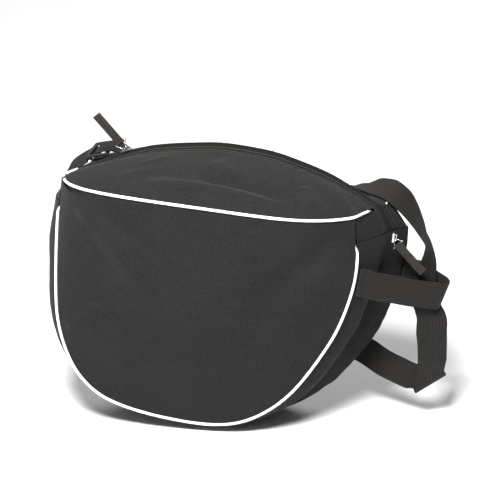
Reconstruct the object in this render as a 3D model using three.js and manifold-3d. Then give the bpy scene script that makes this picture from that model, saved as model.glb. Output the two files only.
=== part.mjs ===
import * as THREE from 'three';
import Module from 'manifold-3d';
import { mergeVertices } from 'three/addons/utils/BufferGeometryUtils.js';

// Soft half-moon bag for a helmet, lying in its own frame: X to the right, Y away from the front, Z up.
// The bag is first laid out upright (bag axes), then leaned by LEAN_ANGLE and flattened where it rests.

// Driving dimensions, in millimetres and degrees.
const PANEL_WIDTH = 396;
const PANEL_HEIGHT = 322;
const TOP_TILT = 12;
const SEAM_DEPTH = 118;
const REAR_SHIFT = 28;
const REAR_LOWER = 6;
const TOP_BULGE = 48;
const PANEL_DOME = 12;
const FOLD_DEPTH = 7;
const FOLD_WIDTH = 17;
const GUSSET_PUFF = 30;
const CAP_HEIGHT = 34;
const CREST_RISE = 60;
const TOP_DOME = 6;
const REAR_SAG = 10;
const MOUTH_WIDTH = 44;
const MOUTH_DROP = 34;
const LEAN_ANGLE = 7.5;
const SEAM_CLEARANCE = 13;
const CLOTH = 2.2;
const TAPE_WIDTH = 16;
const COIL_HEIGHT = 1.1;
const COIL_WIDTH = 3;
const COIL_GAP = 0.5;
const PIPING_RADIUS = 2.2;
const PIPING_PROUD = 1.0;
const PIPING_START = 22;
const PIPING_STOP = 30;
const GAP = 0.3;
const WIDE_GAP = 0.8;
const WEBBING_WIDTH = 40;
const WEBBING_THICKNESS = 1.5;
const GLIDE_LENGTH = 32;
const GLIDE_WIDTH = 52;
const GLIDE_THICKNESS = 3.2;
const GLIDE_BAR = 4.5;
const GLIDE_ROOM = 4;
const STRAP_CLEARANCE = 0.35;
const SLIDER_LENGTH = 12;
const SLIDER_WIDTH = 9;
const SLIDER_PLATE = 1.8;
const SLIDER_FLANGE = 1.2;
const BRIDGE_LEG = 1.1;
const BRIDGE_WIDTH = 2.6;
const BRIDGE_SINK = 0.5;
const WIRE_RADIUS = 0.7;
const WIRE_REACH = 11;
const WIRE_NEAR = 3.2;
const WIRE_SPARE = 3;
const RIBBON_WIDTH = 11;
const RIBBON_LENGTH = 49;
const RIBBON_THICKNESS = 2.2;

// Resolution of the grids.
const CAP_ROWS = 2;
const WALL_ROWS = 44;
const WALL_COLUMNS = 3;
const PANEL_COLUMNS = 16;
const TOP_ROWS = 5;
const RINGS = [0.16, 0.34, 0.52, 0.68, 0.82, 0.93, 1];

// Half of the front seam, from the top corner to the bottom: depth below the top edge as a share of
// PANEL_HEIGHT, half width and sideways lean as shares of half of PANEL_WIDTH.
const OUTLINE = [
  { down: 0, half: 0.974, lean: -0.011 },
  { down: 0.12, half: 0.995, lean: 0.012 },
  { down: 0.25, half: 1, lean: 0.025 },
  { down: 0.38, half: 0.98, lean: 0.02 },
  { down: 0.5, half: 0.947, lean: 0.005 },
  { down: 0.61, half: 0.898, lean: -0.02 },
  { down: 0.7, half: 0.842, lean: -0.035 },
  { down: 0.78, half: 0.777, lean: -0.045 },
  { down: 0.85, half: 0.698, lean: -0.055 },
  { down: 0.905, half: 0.608, lean: -0.06 },
  { down: 0.945, half: 0.515, lean: -0.06 },
  { down: 0.972, half: 0.405, lean: -0.045 },
  { down: 0.99, half: 0.26, lean: -0.02 },
  { down: 0.998, half: 0.12, lean: 0 },
];

// Bulge of the top edge away from the seam plane, as a share of TOP_BULGE, from left to right.
const TOP_EDGE = [
  { across: 0, bulge: 0 },
  { across: 0.02, bulge: 0.36 },
  { across: 0.05, bulge: 0.62 },
  { across: 0.1, bulge: 0.82 },
  { across: 0.18, bulge: 0.93 },
  { across: 0.3, bulge: 1 },
  { across: 0.68, bulge: 1 },
  { across: 0.78, bulge: 0.94 },
  { across: 0.86, bulge: 0.76 },
  { across: 0.92, bulge: 0.52 },
  { across: 0.965, bulge: 0.25 },
  { across: 1, bulge: 0 },
];

// Outward puff of the side wall across its width, as shares of GUSSET_PUFF: at the top outline, at the
// seam under the caps and further down, for the left and the right side.
const PUFF = [
  { across: 0, leftTop: 0, leftCap: 0, left: 0, rightTop: 0, rightCap: 0, right: 0 },
  { across: 0.1, leftTop: 0, leftCap: 0.3, left: 0.42, rightTop: 0.02, rightCap: 0.2, right: 0.26 },
  { across: 0.2, leftTop: -0.03, leftCap: 0.55, left: 0.8, rightTop: 0.12, rightCap: 0.4, right: 0.47 },
  { across: 0.3, leftTop: -0.06, leftCap: 0.68, left: 1, rightTop: 0.27, rightCap: 0.58, right: 0.55 },
  { across: 0.4, leftTop: -0.04, leftCap: 0.6, left: 0.9, rightTop: 0.38, rightCap: 0.74, right: 0.42 },
  { across: 0.5, leftTop: 0, leftCap: 0.5, left: 0.7, rightTop: 0.48, rightCap: 0.8, right: 0.24 },
  { across: 0.58, leftTop: 0.03, leftCap: 0.6, left: 0.86, rightTop: 0.56, rightCap: 1.03, right: 0.66 },
  { across: 0.66, leftTop: 0.06, leftCap: 0.75, left: 1.05, rightTop: 0.61, rightCap: 1.2, right: 1.05 },
  { across: 0.75, leftTop: 0.08, leftCap: 0.85, left: 1.15, rightTop: 0.65, rightCap: 1.36, right: 1.24 },
  { across: 0.84, leftTop: 0.06, leftCap: 0.75, left: 1, rightTop: 0.58, rightCap: 1.2, right: 1.1 },
  { across: 0.93, leftTop: 0.03, leftCap: 0.4, left: 0.55, rightTop: 0.35, rightCap: 0.68, right: 0.62 },
  { across: 1, leftTop: 0, leftCap: 0, left: 0, rightTop: 0, rightCap: 0, right: 0 },
];
const PUFF_FADE = 66;

// Strength of the puff along the seam, from the left top corner round the bottom to the right one.
const PUFF_ALONG = [
  { along: 0, scale: 1 },
  { along: 0.22, scale: 1 },
  { along: 0.36, scale: 0.72 },
  { along: 0.46, scale: 0.55 },
  { along: 0.56, scale: 0.6 },
  { along: 0.68, scale: 0.82 },
  { along: 0.8, scale: 1 },
  { along: 1, scale: 1 },
];

// Line of the zip over the top: height as a share of CREST_RISE, parting of the two tapes as a share of
// MOUTH_WIDTH and MOUTH_DROP, and slope of the tape in degrees.
const CREST = [
  { across: 0, rise: 0, open: 0, slope: 8 },
  { across: 0.06, rise: 0.18, open: 0, slope: 12 },
  { across: 0.13, rise: 0.44, open: 0, slope: 18 },
  { across: 0.17, rise: 0.56, open: 0.005, slope: 20 },
  { across: 0.22, rise: 0.7, open: 0.14, slope: 22 },
  { across: 0.35, rise: 0.885, open: 0.6, slope: 26 },
  { across: 0.48, rise: 0.99, open: 0.97, slope: 28 },
  { across: 0.614, rise: 0.95, open: 1, slope: 28 },
  { across: 0.716, rise: 0.81, open: 0.86, slope: 26 },
  { across: 0.82, rise: 0.61, open: 0.6, slope: 22 },
  { across: 0.925, rise: 0.29, open: 0.26, slope: 14 },
  { across: 1, rise: 0, open: 0.08, slope: 8 },
];
const SLIDER_LEFT_AT = 0.145;

// Soft folds of the front panel: ends as shares of half of PANEL_WIDTH and of PANEL_HEIGHT, depth as a
// share of FOLD_DEPTH (a ridge is negative), and width as a share of FOLD_WIDTH.
const FOLDS = [
  { x0: -0.92, z0: 0.95, x1: -0.6, z1: 0.64, depth: 1, width: 1 },
  { x0: -0.6, z0: 0.64, x1: -0.52, z1: 0.5, depth: 0.7, width: 1.2 },
  { x0: -0.74, z0: 0.86, x1: -0.36, z1: 0.56, depth: -0.5, width: 1.4 },
  { x0: 0.85, z0: 0.9, x1: 0.45, z1: 0.62, depth: 0.45, width: 1.4 },
];

// How webbing lies: on the top, on a side, or free but kept clear of the bag.
const ON_TOP = 1;
const ON_SIDE = 2;
const KEPT_CLEAR = 3;

// Route of the shoulder strap in bag axes: centre as shares of half of PANEL_WIDTH, half of SEAM_DEPTH and
// PANEL_HEIGHT, then the direction across the webbing. Rest is 1 where it lies on the top, 2 where it is
// pressed flat on what is under it.
const STRAP_LEFT = [
  { x: -1.035, y: 0.6, z: 0.922, wx: 0.03, wy: -1, wz: 0 },
  { x: -1.0, y: 0.68, z: 0.95, wx: 0, wy: -1, wz: -0.05 },
];
const GLIDE = { x: -0.83, y: 0.86, z: 0.997, wx: -0.08, wy: -0.99, wz: -0.1, tx: 0.93, tz: 0.34 };
const STRAP_TOP = [
  { x: -0.58, y: 1.12, z: 1.02, wx: 0, wy: -1, wz: 0, rest: ON_TOP },
  { x: -0.38, y: 1.27, z: 1.0, wx: 0, wy: -1, wz: 0, rest: ON_TOP },
  { x: -0.1, y: 1.32, z: 1.0, wx: 0, wy: -1, wz: 0, rest: ON_TOP },
  { x: 0.2, y: 1.32, z: 1.0, wx: 0, wy: -1, wz: 0, rest: ON_TOP },
  { x: 0.5, y: 1.26, z: 1.0, wx: 0, wy: -1, wz: 0, rest: ON_TOP },
  { x: 0.76, y: 1.1, z: 1.0, wx: 0, wy: -1, wz: 0, rest: ON_TOP },
  { x: 0.9, y: 1.04, z: 1.0, wx: 0, wy: -1, wz: 0, rest: ON_TOP },
  { x: 1.0, y: 0.98, z: 1.012, wx: -0.05, wy: -0.99, wz: -0.02, rest: KEPT_CLEAR },
  { x: 1.07, y: 0.84, z: 1.03, wx: -0.12, wy: -0.93, wz: -0.3, rest: KEPT_CLEAR },
  { x: 1.165, y: 0.64, z: 1.037, wx: -0.27, wy: -0.84, wz: -0.46, rest: KEPT_CLEAR },
  { x: 1.25, y: 0.51, z: 1.024, wx: -0.28, wy: -0.82, wz: -0.48, rest: KEPT_CLEAR },
  { x: 1.325, y: 0.48, z: 0.988, wx: -0.12, wy: -0.86, wz: -0.48 },
  { x: 1.385, y: 0.46, z: 0.94, wx: -0.01, wy: -0.92, wz: -0.38 },
  { x: 1.44, y: 0.44, z: 0.884, wx: 0.05, wy: -0.98, wz: -0.16 },
  { x: 1.465, y: 0.4, z: 0.828, wx: -0.3, wy: -0.93, wz: -0.14 },
  { x: 1.47, y: 0.3, z: 0.768, wx: -0.66, wy: -0.72, wz: -0.2 },
  { x: 1.472, y: 0.22, z: 0.706, wx: -0.82, wy: -0.52, wz: -0.22 },
  { x: 1.485, y: 0.2, z: 0.65, wx: -0.84, wy: -0.48, wz: -0.25 },
  { x: 1.498, y: 0.2, z: 0.6, wx: -0.86, wy: -0.44, wz: -0.26 },
  { x: 1.545, y: 0.24, z: 0.53, wx: -0.93, wy: -0.18, wz: -0.28 },
  { x: 1.592, y: 0.28, z: 0.46, wx: -0.95, wy: -0.04, wz: -0.3 },
  { x: 1.62, y: 0.3, z: 0.37, wx: -0.93, wy: 0, wz: -0.36 },
];
const STRAP_FOLD = { x: 1.64, y: 0.3, z: 0.268, wx: -0.72, wz: -0.69, radius: 3.2 };
const STRAP_END = [
  { x: 1.49, y: 0.52, z: 0.262, wx: -0.24, wy: 0, wz: -0.97 },
  { x: 1.3, y: 0.78, z: 0.278, wx: -0.3, wy: 0, wz: -0.95 },
  { x: 1.12, y: 1.12, z: 0.3, wx: -0.36, wy: 0, wz: -0.93 },
];

// Route of the side loop in bag axes: centre as shares of half of PANEL_WIDTH, half of SEAM_DEPTH and
// PANEL_HEIGHT, then the sideways slant of the webbing's width.
const LOOP_FREE = [
  { x: 1.16, y: -0.78, z: 0.727, slant: 0.13 },
  { x: 1.29, y: -0.5, z: 0.708, slant: 0.16 },
  { x: 1.42, y: -0.24, z: 0.688, slant: 0.2 },
  { x: 1.54, y: -0.02, z: 0.676, slant: 0.22 },
  { x: 1.604, y: 0.1, z: 0.67, slant: 0.22 },
  { x: 1.625, y: 0.27, z: 0.67, slant: 0.21 },
  { x: 1.605, y: 0.44, z: 0.674, slant: 0.2 },
  { x: 1.53, y: 0.53, z: 0.69, slant: 0.15 },
  { x: 1.43, y: 0.56, z: 0.718, slant: 0.1 },
];
const LOOP_ROW = 3;

const COLOUR = {
  cloth: 0x2b2b2e,
  tape: 0x2c2a27,
  piping: 0xe9e9ea,
  webbing: 0x2a2724,
  plastic: 0x1b1b1d,
  metal: 0xb9bab8,
};

const wasm = await Module();
wasm.setup();

const V = (x, y, z) => new THREE.Vector3(x, y, z);
const HALF = PANEL_WIDTH / 2;
const HALF_DEPTH = SEAM_DEPTH / 2;

/** Smooth value of one column of a table at t, by monotone cubic steps between its rows. */
function sample(table, key, column, t) {
  const n = table.length;
  if (t <= table[0][key]) return table[0][column];
  if (t >= table[n - 1][key]) return table[n - 1][column];
  let k = 0;
  while (table[k + 1][key] < t) k += 1;
  const slopeAt = (i) => {
    if (i <= 0 || i >= n - 1) return 0;
    const a = (table[i][column] - table[i - 1][column]) / (table[i][key] - table[i - 1][key]);
    const b = (table[i + 1][column] - table[i][column]) / (table[i + 1][key] - table[i][key]);
    return a * b <= 0 ? 0 : (2 * a * b) / (a + b);
  };
  const first = (table[1][column] - table[0][column]) / (table[1][key] - table[0][key]);
  const last = (table[n - 1][column] - table[n - 2][column]) / (table[n - 1][key] - table[n - 2][key]);
  const h = table[k + 1][key] - table[k][key];
  const m0 = (k === 0 ? first : slopeAt(k)) * h;
  const m1 = (k === n - 2 ? last : slopeAt(k + 1)) * h;
  const s = (t - table[k][key]) / h;
  const s2 = s * s;
  const s3 = s2 * s;
  const a = table[k][column];
  const b = table[k + 1][column];
  return (2 * s3 - 3 * s2 + 1) * a + (s3 - 2 * s2 + s) * m0 + (3 * s2 - 2 * s3) * b + (s3 - s2) * m1;
}

const smooth = (t) => {
  const c = Math.min(1, Math.max(0, t));
  return c * c * (3 - 2 * c);
};

// Layout of the seams, in bag axes

/** The U-shaped seam line from the top left corner to the top right one; side is -1 in front, 1 behind. */
function seamCurve(side) {
  const shift = side > 0 ? REAR_SHIFT : 0;
  const height = side > 0 ? PANEL_HEIGHT - REAR_LOWER : PANEL_HEIGHT;
  const at = (row, sign) => {
    const x = HALF * (sign * row.half + row.lean);
    const z = height * (1 - row.down) + (TOP_TILT / 2) * (x / HALF) * (1 - row.down);
    return V(x + shift, side * HALF_DEPTH, z);
  };
  const left = OUTLINE.map((row) => at(row, -1));
  const right = OUTLINE.map((row) => at(row, 1)).reverse();
  return new THREE.CatmullRomCurve3([...left, ...right], false, 'centripetal');
}

/** Points on the seam: short rows for the caps at both ends and even rows between them. */
function seamPoints(side) {
  const curve = seamCurve(side);
  curve.arcLengthDivisions = 600;
  const cap = CAP_HEIGHT / curve.getLength();
  const stops = [];
  for (let i = 0; i < CAP_ROWS; i += 1) stops.push((cap * i) / CAP_ROWS);
  for (let i = 0; i <= WALL_ROWS; i += 1) stops.push(cap + ((1 - 2 * cap) * i) / WALL_ROWS);
  for (let i = 1; i <= CAP_ROWS; i += 1) stops.push(1 - cap + (cap * i) / CAP_ROWS);
  return stops.map((u) => curve.getPointAt(u));
}

const seam = { front: seamPoints(-1), rear: seamPoints(1) };
const LAST = CAP_ROWS * 2 + WALL_ROWS;
const seamRun = [0];
for (let i = 1; i <= LAST; i += 1) {
  seamRun.push(seamRun[i - 1] + seam.front[i].distanceTo(seam.front[i - 1]));
}

/** Outward direction of the wall at row i, square to the seam and to the depth axis. */
function wallOut(i) {
  const a = seam.front[Math.max(0, i - 1)];
  const b = seam.front[Math.min(LAST, i + 1)];
  return V(b.z - a.z, 0, a.x - b.x).normalize();
}

/** Point of the side wall in bag axes at row i, which may lie between rows, and share v across. */
function wallPoint(i, v) {
  const k = Math.min(LAST - 1, Math.floor(i));
  const f = i - k;
  const out = wallOut(k).lerp(wallOut(k + 1), f).normalize();
  const a = seam.front[k].clone().lerp(seam.front[k + 1], f);
  const b = seam.rear[k].clone().lerp(seam.rear[k + 1], f);
  const run = seamRun[k] + f * (seamRun[k + 1] - seamRun[k]);
  const total = seamRun[LAST];
  const share = run / total;
  const puff = (column) => sample(PUFF, 'across', column, v);
  const tag = share < 0.5 ? 'left' : 'right';
  const side = (1 - share) * puff('left') + share * puff('right');
  const below = Math.min(run, total - run) - CAP_HEIGHT;
  const cap = puff(`${tag}Cap`);
  const edge = puff(`${tag}Top`);
  const bulge = below < 0
    ? edge + (cap - edge) * smooth(1 + below / CAP_HEIGHT)
    : cap + (side - cap) * smooth(below / PUFF_FADE);
  const scale = sample(PUFF_ALONG, 'along', 'scale', share);
  return a.lerp(b, v).addScaledVector(out, GUSSET_PUFF * bulge * scale);
}

const capArc = (() => {
  let sum = 0;
  for (let k = 0; k < 24; k += 1) {
    sum += wallPoint(CAP_ROWS, k / 24).distanceTo(wallPoint(CAP_ROWS, (k + 1) / 24));
  }
  return sum;
})();
const TAPE_SHARE = TAPE_WIDTH / capArc;
const COIL_SHARE = COIL_GAP / 2 / capArc;

/** Point on the top edge of the front (side -1) or rear (side 1) panel. */
function topEdge(side, across) {
  const line = side < 0 ? seam.front : seam.rear;
  const p = line[0].clone().lerp(line[LAST], across);
  p.y += side * TOP_BULGE * sample(TOP_EDGE, 'across', 'bulge', across);
  return p;
}

const columnShare = (k) => {
  const t = k / PANEL_COLUMNS;
  return 0.45 * t + 0.55 * 0.5 * (1 - Math.cos(Math.PI * t));
};

/** Depth of a panel at a point between its seams; side is -1 in front and 1 behind. */
function panelDepth(side, x, z) {
  const line = side < 0 ? seam.front : seam.rear;
  const tilt = line[LAST].z - line[0].z;
  const top = line[0].z + tilt * ((x - line[0].x) / (line[LAST].x - line[0].x));
  const up = Math.min(1, Math.max(0, z / top));
  const shift = side < 0 ? 0 : REAR_SHIFT;
  const down = 1 - up;
  const half = HALF * sample(OUTLINE, 'down', 'half', down);
  const lean = HALF * sample(OUTLINE, 'down', 'lean', down);
  const across = Math.min(1, Math.max(0, (x - shift - lean + half) / (2 * half)));
  const round = 4 * across * (1 - across);
  const edge = sample(TOP_EDGE, 'across', 'bulge', across);
  const shape = edge * up + round * (1 - up);
  let depth = TOP_BULGE * shape * up + PANEL_DOME * round * 4 * up * down;
  if (side < 0) depth -= foldDepth(x, z) * Math.min(1, 6 * down) * Math.min(1, 4 * round);
  return side * (HALF_DEPTH + depth);
}

/** Depth of the folds of the front panel at a point. */
function foldDepth(x, z) {
  let sum = 0;
  for (const fold of FOLDS) {
    const a = new THREE.Vector2(fold.x0 * HALF, fold.z0 * PANEL_HEIGHT);
    const b = new THREE.Vector2(fold.x1 * HALF, fold.z1 * PANEL_HEIGHT);
    const p = new THREE.Vector2(x, z);
    const ab = b.clone().sub(a);
    const t = Math.min(1, Math.max(0, p.clone().sub(a).dot(ab) / ab.lengthSq()));
    const away = p.distanceTo(a.addScaledVector(ab, t)) / (FOLD_WIDTH * fold.width);
    sum += FOLD_DEPTH * fold.depth * Math.exp(-away * away);
  }
  return sum;
}

// From bag axes to the resting pose

const leanMatrix = new THREE.Matrix4().makeRotationY(THREE.MathUtils.degToRad(LEAN_ANGLE));
const lowest = Math.min(...seam.front.map((p) => p.clone().applyMatrix4(leanMatrix).z));
const floor = lowest - SEAM_CLEARANCE;

/** Leans a point and lifts it so that the floor is at zero. */
function place(p) {
  const q = p.clone().applyMatrix4(leanMatrix);
  q.z -= floor;
  return q;
}

const turn = (d) => d.clone().applyMatrix4(leanMatrix).normalize();

// Cloth sheets with shared seams

const keyOf = (p) => [p.x, p.y, p.z].map((c) => Math.round(c * 500)).join(',');
const edgeKey = (a, b) => {
  const k = [keyOf(a), keyOf(b)];
  return k.sort().join('|');
};

/** A grid of outer points with its triangles, wound so that the outer side faces away from the bag. */
function gridSheet(rows, flip = false) {
  const points = rows.flat();
  const n = rows[0].length;
  const faces = [];
  for (let i = 0; i + 1 < rows.length; i += 1) {
    for (let j = 0; j + 1 < n; j += 1) {
      const a = i * n + j;
      const quad = [a, a + 1, a + n + 1, a + n];
      const [first, second, third, fourth] = quad.map((k) => points[k]);
      const short = first.distanceTo(third) <= second.distanceTo(fourth);
      const pair = short
        ? [[quad[0], quad[1], quad[2]], [quad[0], quad[2], quad[3]]]
        : [[quad[0], quad[1], quad[3]], [quad[1], quad[2], quad[3]]];
      for (const [p, q, r] of pair) faces.push(flip ? [p, r, q] : [p, q, r]);
    }
  }
  return { points, faces, rows };
}

/** A sheet of rings round a centre, closed all the way round. */
function ringSheet(centre, rings, flip = false) {
  const points = [centre, ...rings.flat()];
  const n = rings[0].length;
  const faces = [];
  const add = (p, q, r) => faces.push(flip ? [p, r, q] : [p, q, r]);
  for (let k = 0; k < n; k += 1) {
    const next = (k + 1) % n;
    add(0, 1 + k, 1 + next);
    for (let j = 0; j + 1 < rings.length; j += 1) {
      const a = 1 + j * n;
      const b = a + n;
      add(a + k, b + k, b + next);
      add(a + k, b + next, a + next);
    }
  }
  return { points, faces };
}

const faceNormal = (a, b, c) => b.clone().sub(a).cross(c.clone().sub(a));

/** Small least-squares solve of rows . x = values, kept small where the rows leave it free. */
function solve(rows, values) {
  const m = new THREE.Matrix3();
  const e = [1e-4, 0, 0, 0, 1e-4, 0, 0, 0, 1e-4];
  const rhs = V(0, 0, 0);
  rows.forEach((r, i) => {
    const c = [r.x, r.y, r.z];
    for (let a = 0; a < 3; a += 1) {
      for (let b = 0; b < 3; b += 1) e[a * 3 + b] += c[a] * c[b];
    }
    rhs.addScaledVector(r, values[i]);
  });
  m.fromArray(e).transpose().invert();
  return rhs.applyMatrix3(m);
}

const sheets = [];
const pipedEdges = new Map();
const wideEdges = new Map();

/** Registers a sheet; extra holds outward and inward thickening of single points. */
function addSheet(name, sheet, look, extra = null) {
  const normals = sheet.points.map(() => V(0, 0, 0));
  const edges = new Map();
  for (const [a, b, c] of sheet.faces) {
    const n = faceNormal(sheet.points[a], sheet.points[b], sheet.points[c]);
    for (const k of [a, b, c]) normals[k].add(n);
    for (const [p, q] of [[a, b], [b, c], [c, a]]) {
      const back = `${q}_${p}`;
      if (edges.has(back)) edges.delete(back);
      else edges.set(`${p}_${q}`, { p, q, n: n.clone().normalize() });
    }
  }
  normals.forEach((n) => n.normalize());
  sheets.push({ name, ...sheet, normals, rim: [...edges.values()], look, extra });
}

/** Inward vectors that keep the wall's thickness against every sheet that meets at a point. */
function inwardVectors() {
  const meet = new Map();
  for (const sheet of sheets) {
    sheet.points.forEach((p, i) => {
      const key = keyOf(p);
      if (!meet.has(key)) meet.set(key, []);
      meet.get(key).push(sheet.normals[i]);
    });
  }
  const result = new Map();
  for (const [key, list] of meet) {
    const v = solve(list, list.map(() => -CLOTH));
    const limit = 2.2 * CLOTH;
    if (v.length() > limit) v.setLength(limit);
    result.set(key, v);
  }
  return result;
}

/** Setback of a sheet's rim that clears the piping, from the inward vector there. */
function pipedSetback(inward) {
  const reach = PIPING_RADIUS + GAP + 0.05;
  const sine = Math.min(1, CLOTH / inward.length());
  const cosine = Math.sqrt(1 - sine * sine);
  const under = reach * reach - PIPING_PROUD * PIPING_PROUD * sine * sine;
  return Math.max(GAP, -PIPING_PROUD * cosine + Math.sqrt(Math.max(0, under)));
}

/** Move of a rim point that sets back both rim edges that meet there. */
function rimMove({ rows, values }, normal) {
  if (rows.length === 2 && rows[0].dot(rows[1]) > 0.75) {
    const middle = rows[0].clone().add(rows[1]).normalize();
    return middle.multiplyScalar((values[0] + values[1]) / 2 / middle.dot(rows[0]));
  }
  return solve([...rows, normal], [...values, 0]);
}

/** Closed solid of one sheet: outer points, inner points and the rim between them. */
function sheetGeometry(sheet, inward) {
  const outer = sheet.points.map((p) => p.clone());
  const pulls = new Map();
  for (const { p, q, n } of sheet.rim) {
    const along = sheet.points[q].clone().sub(sheet.points[p]);
    const inside = n.clone().cross(along).normalize();
    const key = edgeKey(sheet.points[p], sheet.points[q]);
    const piped = pipedEdges.has(key);
    const plain = sheet.rows && wideEdges.has(key) ? WIDE_GAP : GAP;
    for (const k of [p, q]) {
      const back = piped ? pipedSetback(inward.get(keyOf(sheet.points[k]))) : plain;
      if (!pulls.has(k)) pulls.set(k, { rows: [], values: [] });
      pulls.get(k).rows.push(inside);
      pulls.get(k).values.push(back);
    }
  }
  for (const [k, pull] of pulls) {
    outer[k].add(rimMove(pull, sheet.normals[k]));
  }
  const inner = outer.map((p, k) => p.clone().add(inward.get(keyOf(sheet.points[k]))));
  if (sheet.extra) {
    sheet.extra.forEach((grow, k) => {
      outer[k].addScaledVector(sheet.normals[k], grow);
      inner[k].addScaledVector(sheet.normals[k], -grow * 0.5);
    });
  }
  const n = outer.length;
  const index = [];
  for (const [a, b, c] of sheet.faces) {
    index.push(a, b, c, n + a, n + c, n + b);
  }
  for (const { p, q } of sheet.rim) {
    index.push(q, p, n + p, q, n + p, n + q);
  }
  return fromPoints([...outer, ...inner], index);
}

function fromPoints(points, index) {
  const g = new THREE.BufferGeometry();
  g.setAttribute('position', new THREE.Float32BufferAttribute(points.flatMap((p) => [p.x, p.y, p.z]), 3));
  g.setIndex(index);
  g.computeVertexNormals();
  return g;
}

const meshes = new Map();

function addMesh(name, geometry, look) {
  const material = new THREE.MeshStandardMaterial(look);
  const mesh = new THREE.Mesh(geometry, material);
  mesh.name = name;
  meshes.set(name, mesh);
  return mesh;
}

const CLOTH_LOOK = { color: COLOUR.cloth, roughness: 0.82, metalness: 0 };
const TAPE_LOOK = { color: COLOUR.tape, roughness: 0.75, metalness: 0 };
const PIPING_LOOK = { color: COLOUR.piping, roughness: 0.45, metalness: 0 };
const WEBBING_LOOK = { color: COLOUR.webbing, roughness: 0.7, metalness: 0 };
const PLASTIC_LOOK = { color: COLOUR.plastic, roughness: 0.4, metalness: 0 };
const METAL_LOOK = { color: COLOUR.metal, roughness: 0.25, metalness: 1 };

// Side wall: gusset and caps

const wallShares = (() => {
  const side = [];
  const inner = 0.5 - TAPE_SHARE;
  for (let k = 0; k <= WALL_COLUMNS; k += 1) side.push((inner * k) / WALL_COLUMNS);
  return { front: side, rear: side.map((v) => 1 - v).reverse(), inner };
})();
const gussetShares = [...wallShares.front, 0.5, ...wallShares.rear];

/** Wall point in the resting pose, flattened where it would go below the floor. */
function wall(i, v) {
  const p = place(wallPoint(i, v));
  p.z = Math.max(0, p.z);
  return p;
}

const gussetRows = [];
for (let i = CAP_ROWS; i <= LAST - CAP_ROWS; i += 1) gussetRows.push(gussetShares.map((v) => wall(i, v)));
addSheet('gusset', gridSheet(gussetRows), CLOTH_LOOK);

const capRows = (first, last, shares) => {
  const rows = [];
  for (let i = first; i <= last; i += 1) rows.push(shares.map((v) => wall(i, v)));
  return rows;
};
addSheet('cap_left_front', gridSheet(capRows(0, CAP_ROWS, wallShares.front)), CLOTH_LOOK);
addSheet('cap_left_rear', gridSheet(capRows(0, CAP_ROWS, wallShares.rear)), CLOTH_LOOK);
addSheet('cap_right_front', gridSheet(capRows(LAST - CAP_ROWS, LAST, wallShares.front)), CLOTH_LOOK);
addSheet('cap_right_rear', gridSheet(capRows(LAST - CAP_ROWS, LAST, wallShares.rear)), CLOTH_LOOK);

// Front and back panels

function panelSheet(side) {
  const line = side < 0 ? seam.front : seam.rear;
  const rim = [];
  for (let i = 0; i < LAST; i += 1) rim.push(line[i].clone());
  for (let k = PANEL_COLUMNS; k > 0; k -= 1) rim.push(topEdge(side, columnShare(k)));
  const middle = V(line[LAST / 2].x * 0.5 + (line[0].x + line[LAST].x) * 0.25, 0, PANEL_HEIGHT * 0.52);
  const inside = (p) => place(V(p.x, panelDepth(side, p.x, p.z), p.z));
  const rings = RINGS.map((share) => rim.map((p) => {
    if (share === 1) return place(p);
    return inside(middle.clone().lerp(p, share));
  }));
  return ringSheet(inside(middle), rings, side > 0);
}
addSheet('front_panel', panelSheet(-1), CLOTH_LOOK);
addSheet('back_panel', panelSheet(1), CLOTH_LOOK);

// Zip tapes

const zipLeft = wallPoint(0, 0.5);
const zipRight = wallPoint(LAST, 0.5);

/** Coil edge of a tape over the top at share t from the left end to the right one. */
function coilEdge(side, t) {
  const p = zipLeft.clone().lerp(zipRight, t);
  p.z += CREST_RISE * sample(CREST, 'across', 'rise', t);
  const open = sample(CREST, 'across', 'open', t);
  if (side > 0) {
    p.y += MOUTH_WIDTH * open;
    p.z -= MOUTH_DROP * open;
  }
  p.y += (side * COIL_GAP) / 2;
  return p;
}

/** Tape seam that goes with the coil edge. */
function tapeSeam(side, t) {
  const p = coilEdge(side, t);
  const slope = THREE.MathUtils.degToRad(sample(CREST, 'across', 'slope', t)) * (side < 0 ? 1 : 0.45);
  p.y += side * TAPE_WIDTH * Math.cos(slope);
  p.z -= TAPE_WIDTH * Math.sin(slope);
  return p;
}

const OUTER_STEPS = WALL_COLUMNS * 2 + PANEL_COLUMNS;
const END_SHARE = 0.1;
const zipStops = (() => {
  const stops = [];
  for (let k = 0; k <= TOP_ROWS; k += 1) stops.push((END_SHARE * k) / TOP_ROWS);
  for (let k = 1; k <= OUTER_STEPS; k += 1) stops.push(END_SHARE + ((1 - 2 * END_SHARE) * k) / OUTER_STEPS);
  for (let k = 1; k <= TOP_ROWS; k += 1) stops.push(1 - END_SHARE + (END_SHARE * k) / TOP_ROWS);
  return stops;
})();

/** Seam line and coil edge of one tape, from the left gusset seam over the top to the right one. */
function tapeLines(side) {
  const share = side < 0 ? wallShares.inner : 1 - wallShares.inner;
  const edge = 0.5 + side * COIL_SHARE;
  const lines = [];
  for (let i = CAP_ROWS; i >= 0; i -= 1) lines.push([wallPoint(i, share), wallPoint(i, edge)]);
  const endLeft = lines[CAP_ROWS];
  const rightPair = [wallPoint(LAST, share), wallPoint(LAST, edge)];
  for (const t of zipStops.slice(1, -1)) {
    const near = smooth(Math.min(t, 1 - t) / END_SHARE);
    const fix = t < 0.5 ? endLeft : rightPair;
    const at = t < 0.5 ? 0 : 1;
    const pull = (k, p, q) => p.addScaledVector(fix[k].clone().sub(q), 1 - near);
    lines.push([
      pull(0, tapeSeam(side, t), tapeSeam(side, at)),
      pull(1, coilEdge(side, t), coilEdge(side, at)),
    ]);
  }
  for (let i = LAST; i >= LAST - CAP_ROWS; i -= 1) lines.push([wallPoint(i, share), wallPoint(i, edge)]);
  return lines.map(([a, b]) => [place(a), place(b)]);
}

const tape = { front: tapeLines(-1), rear: tapeLines(1) };

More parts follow.
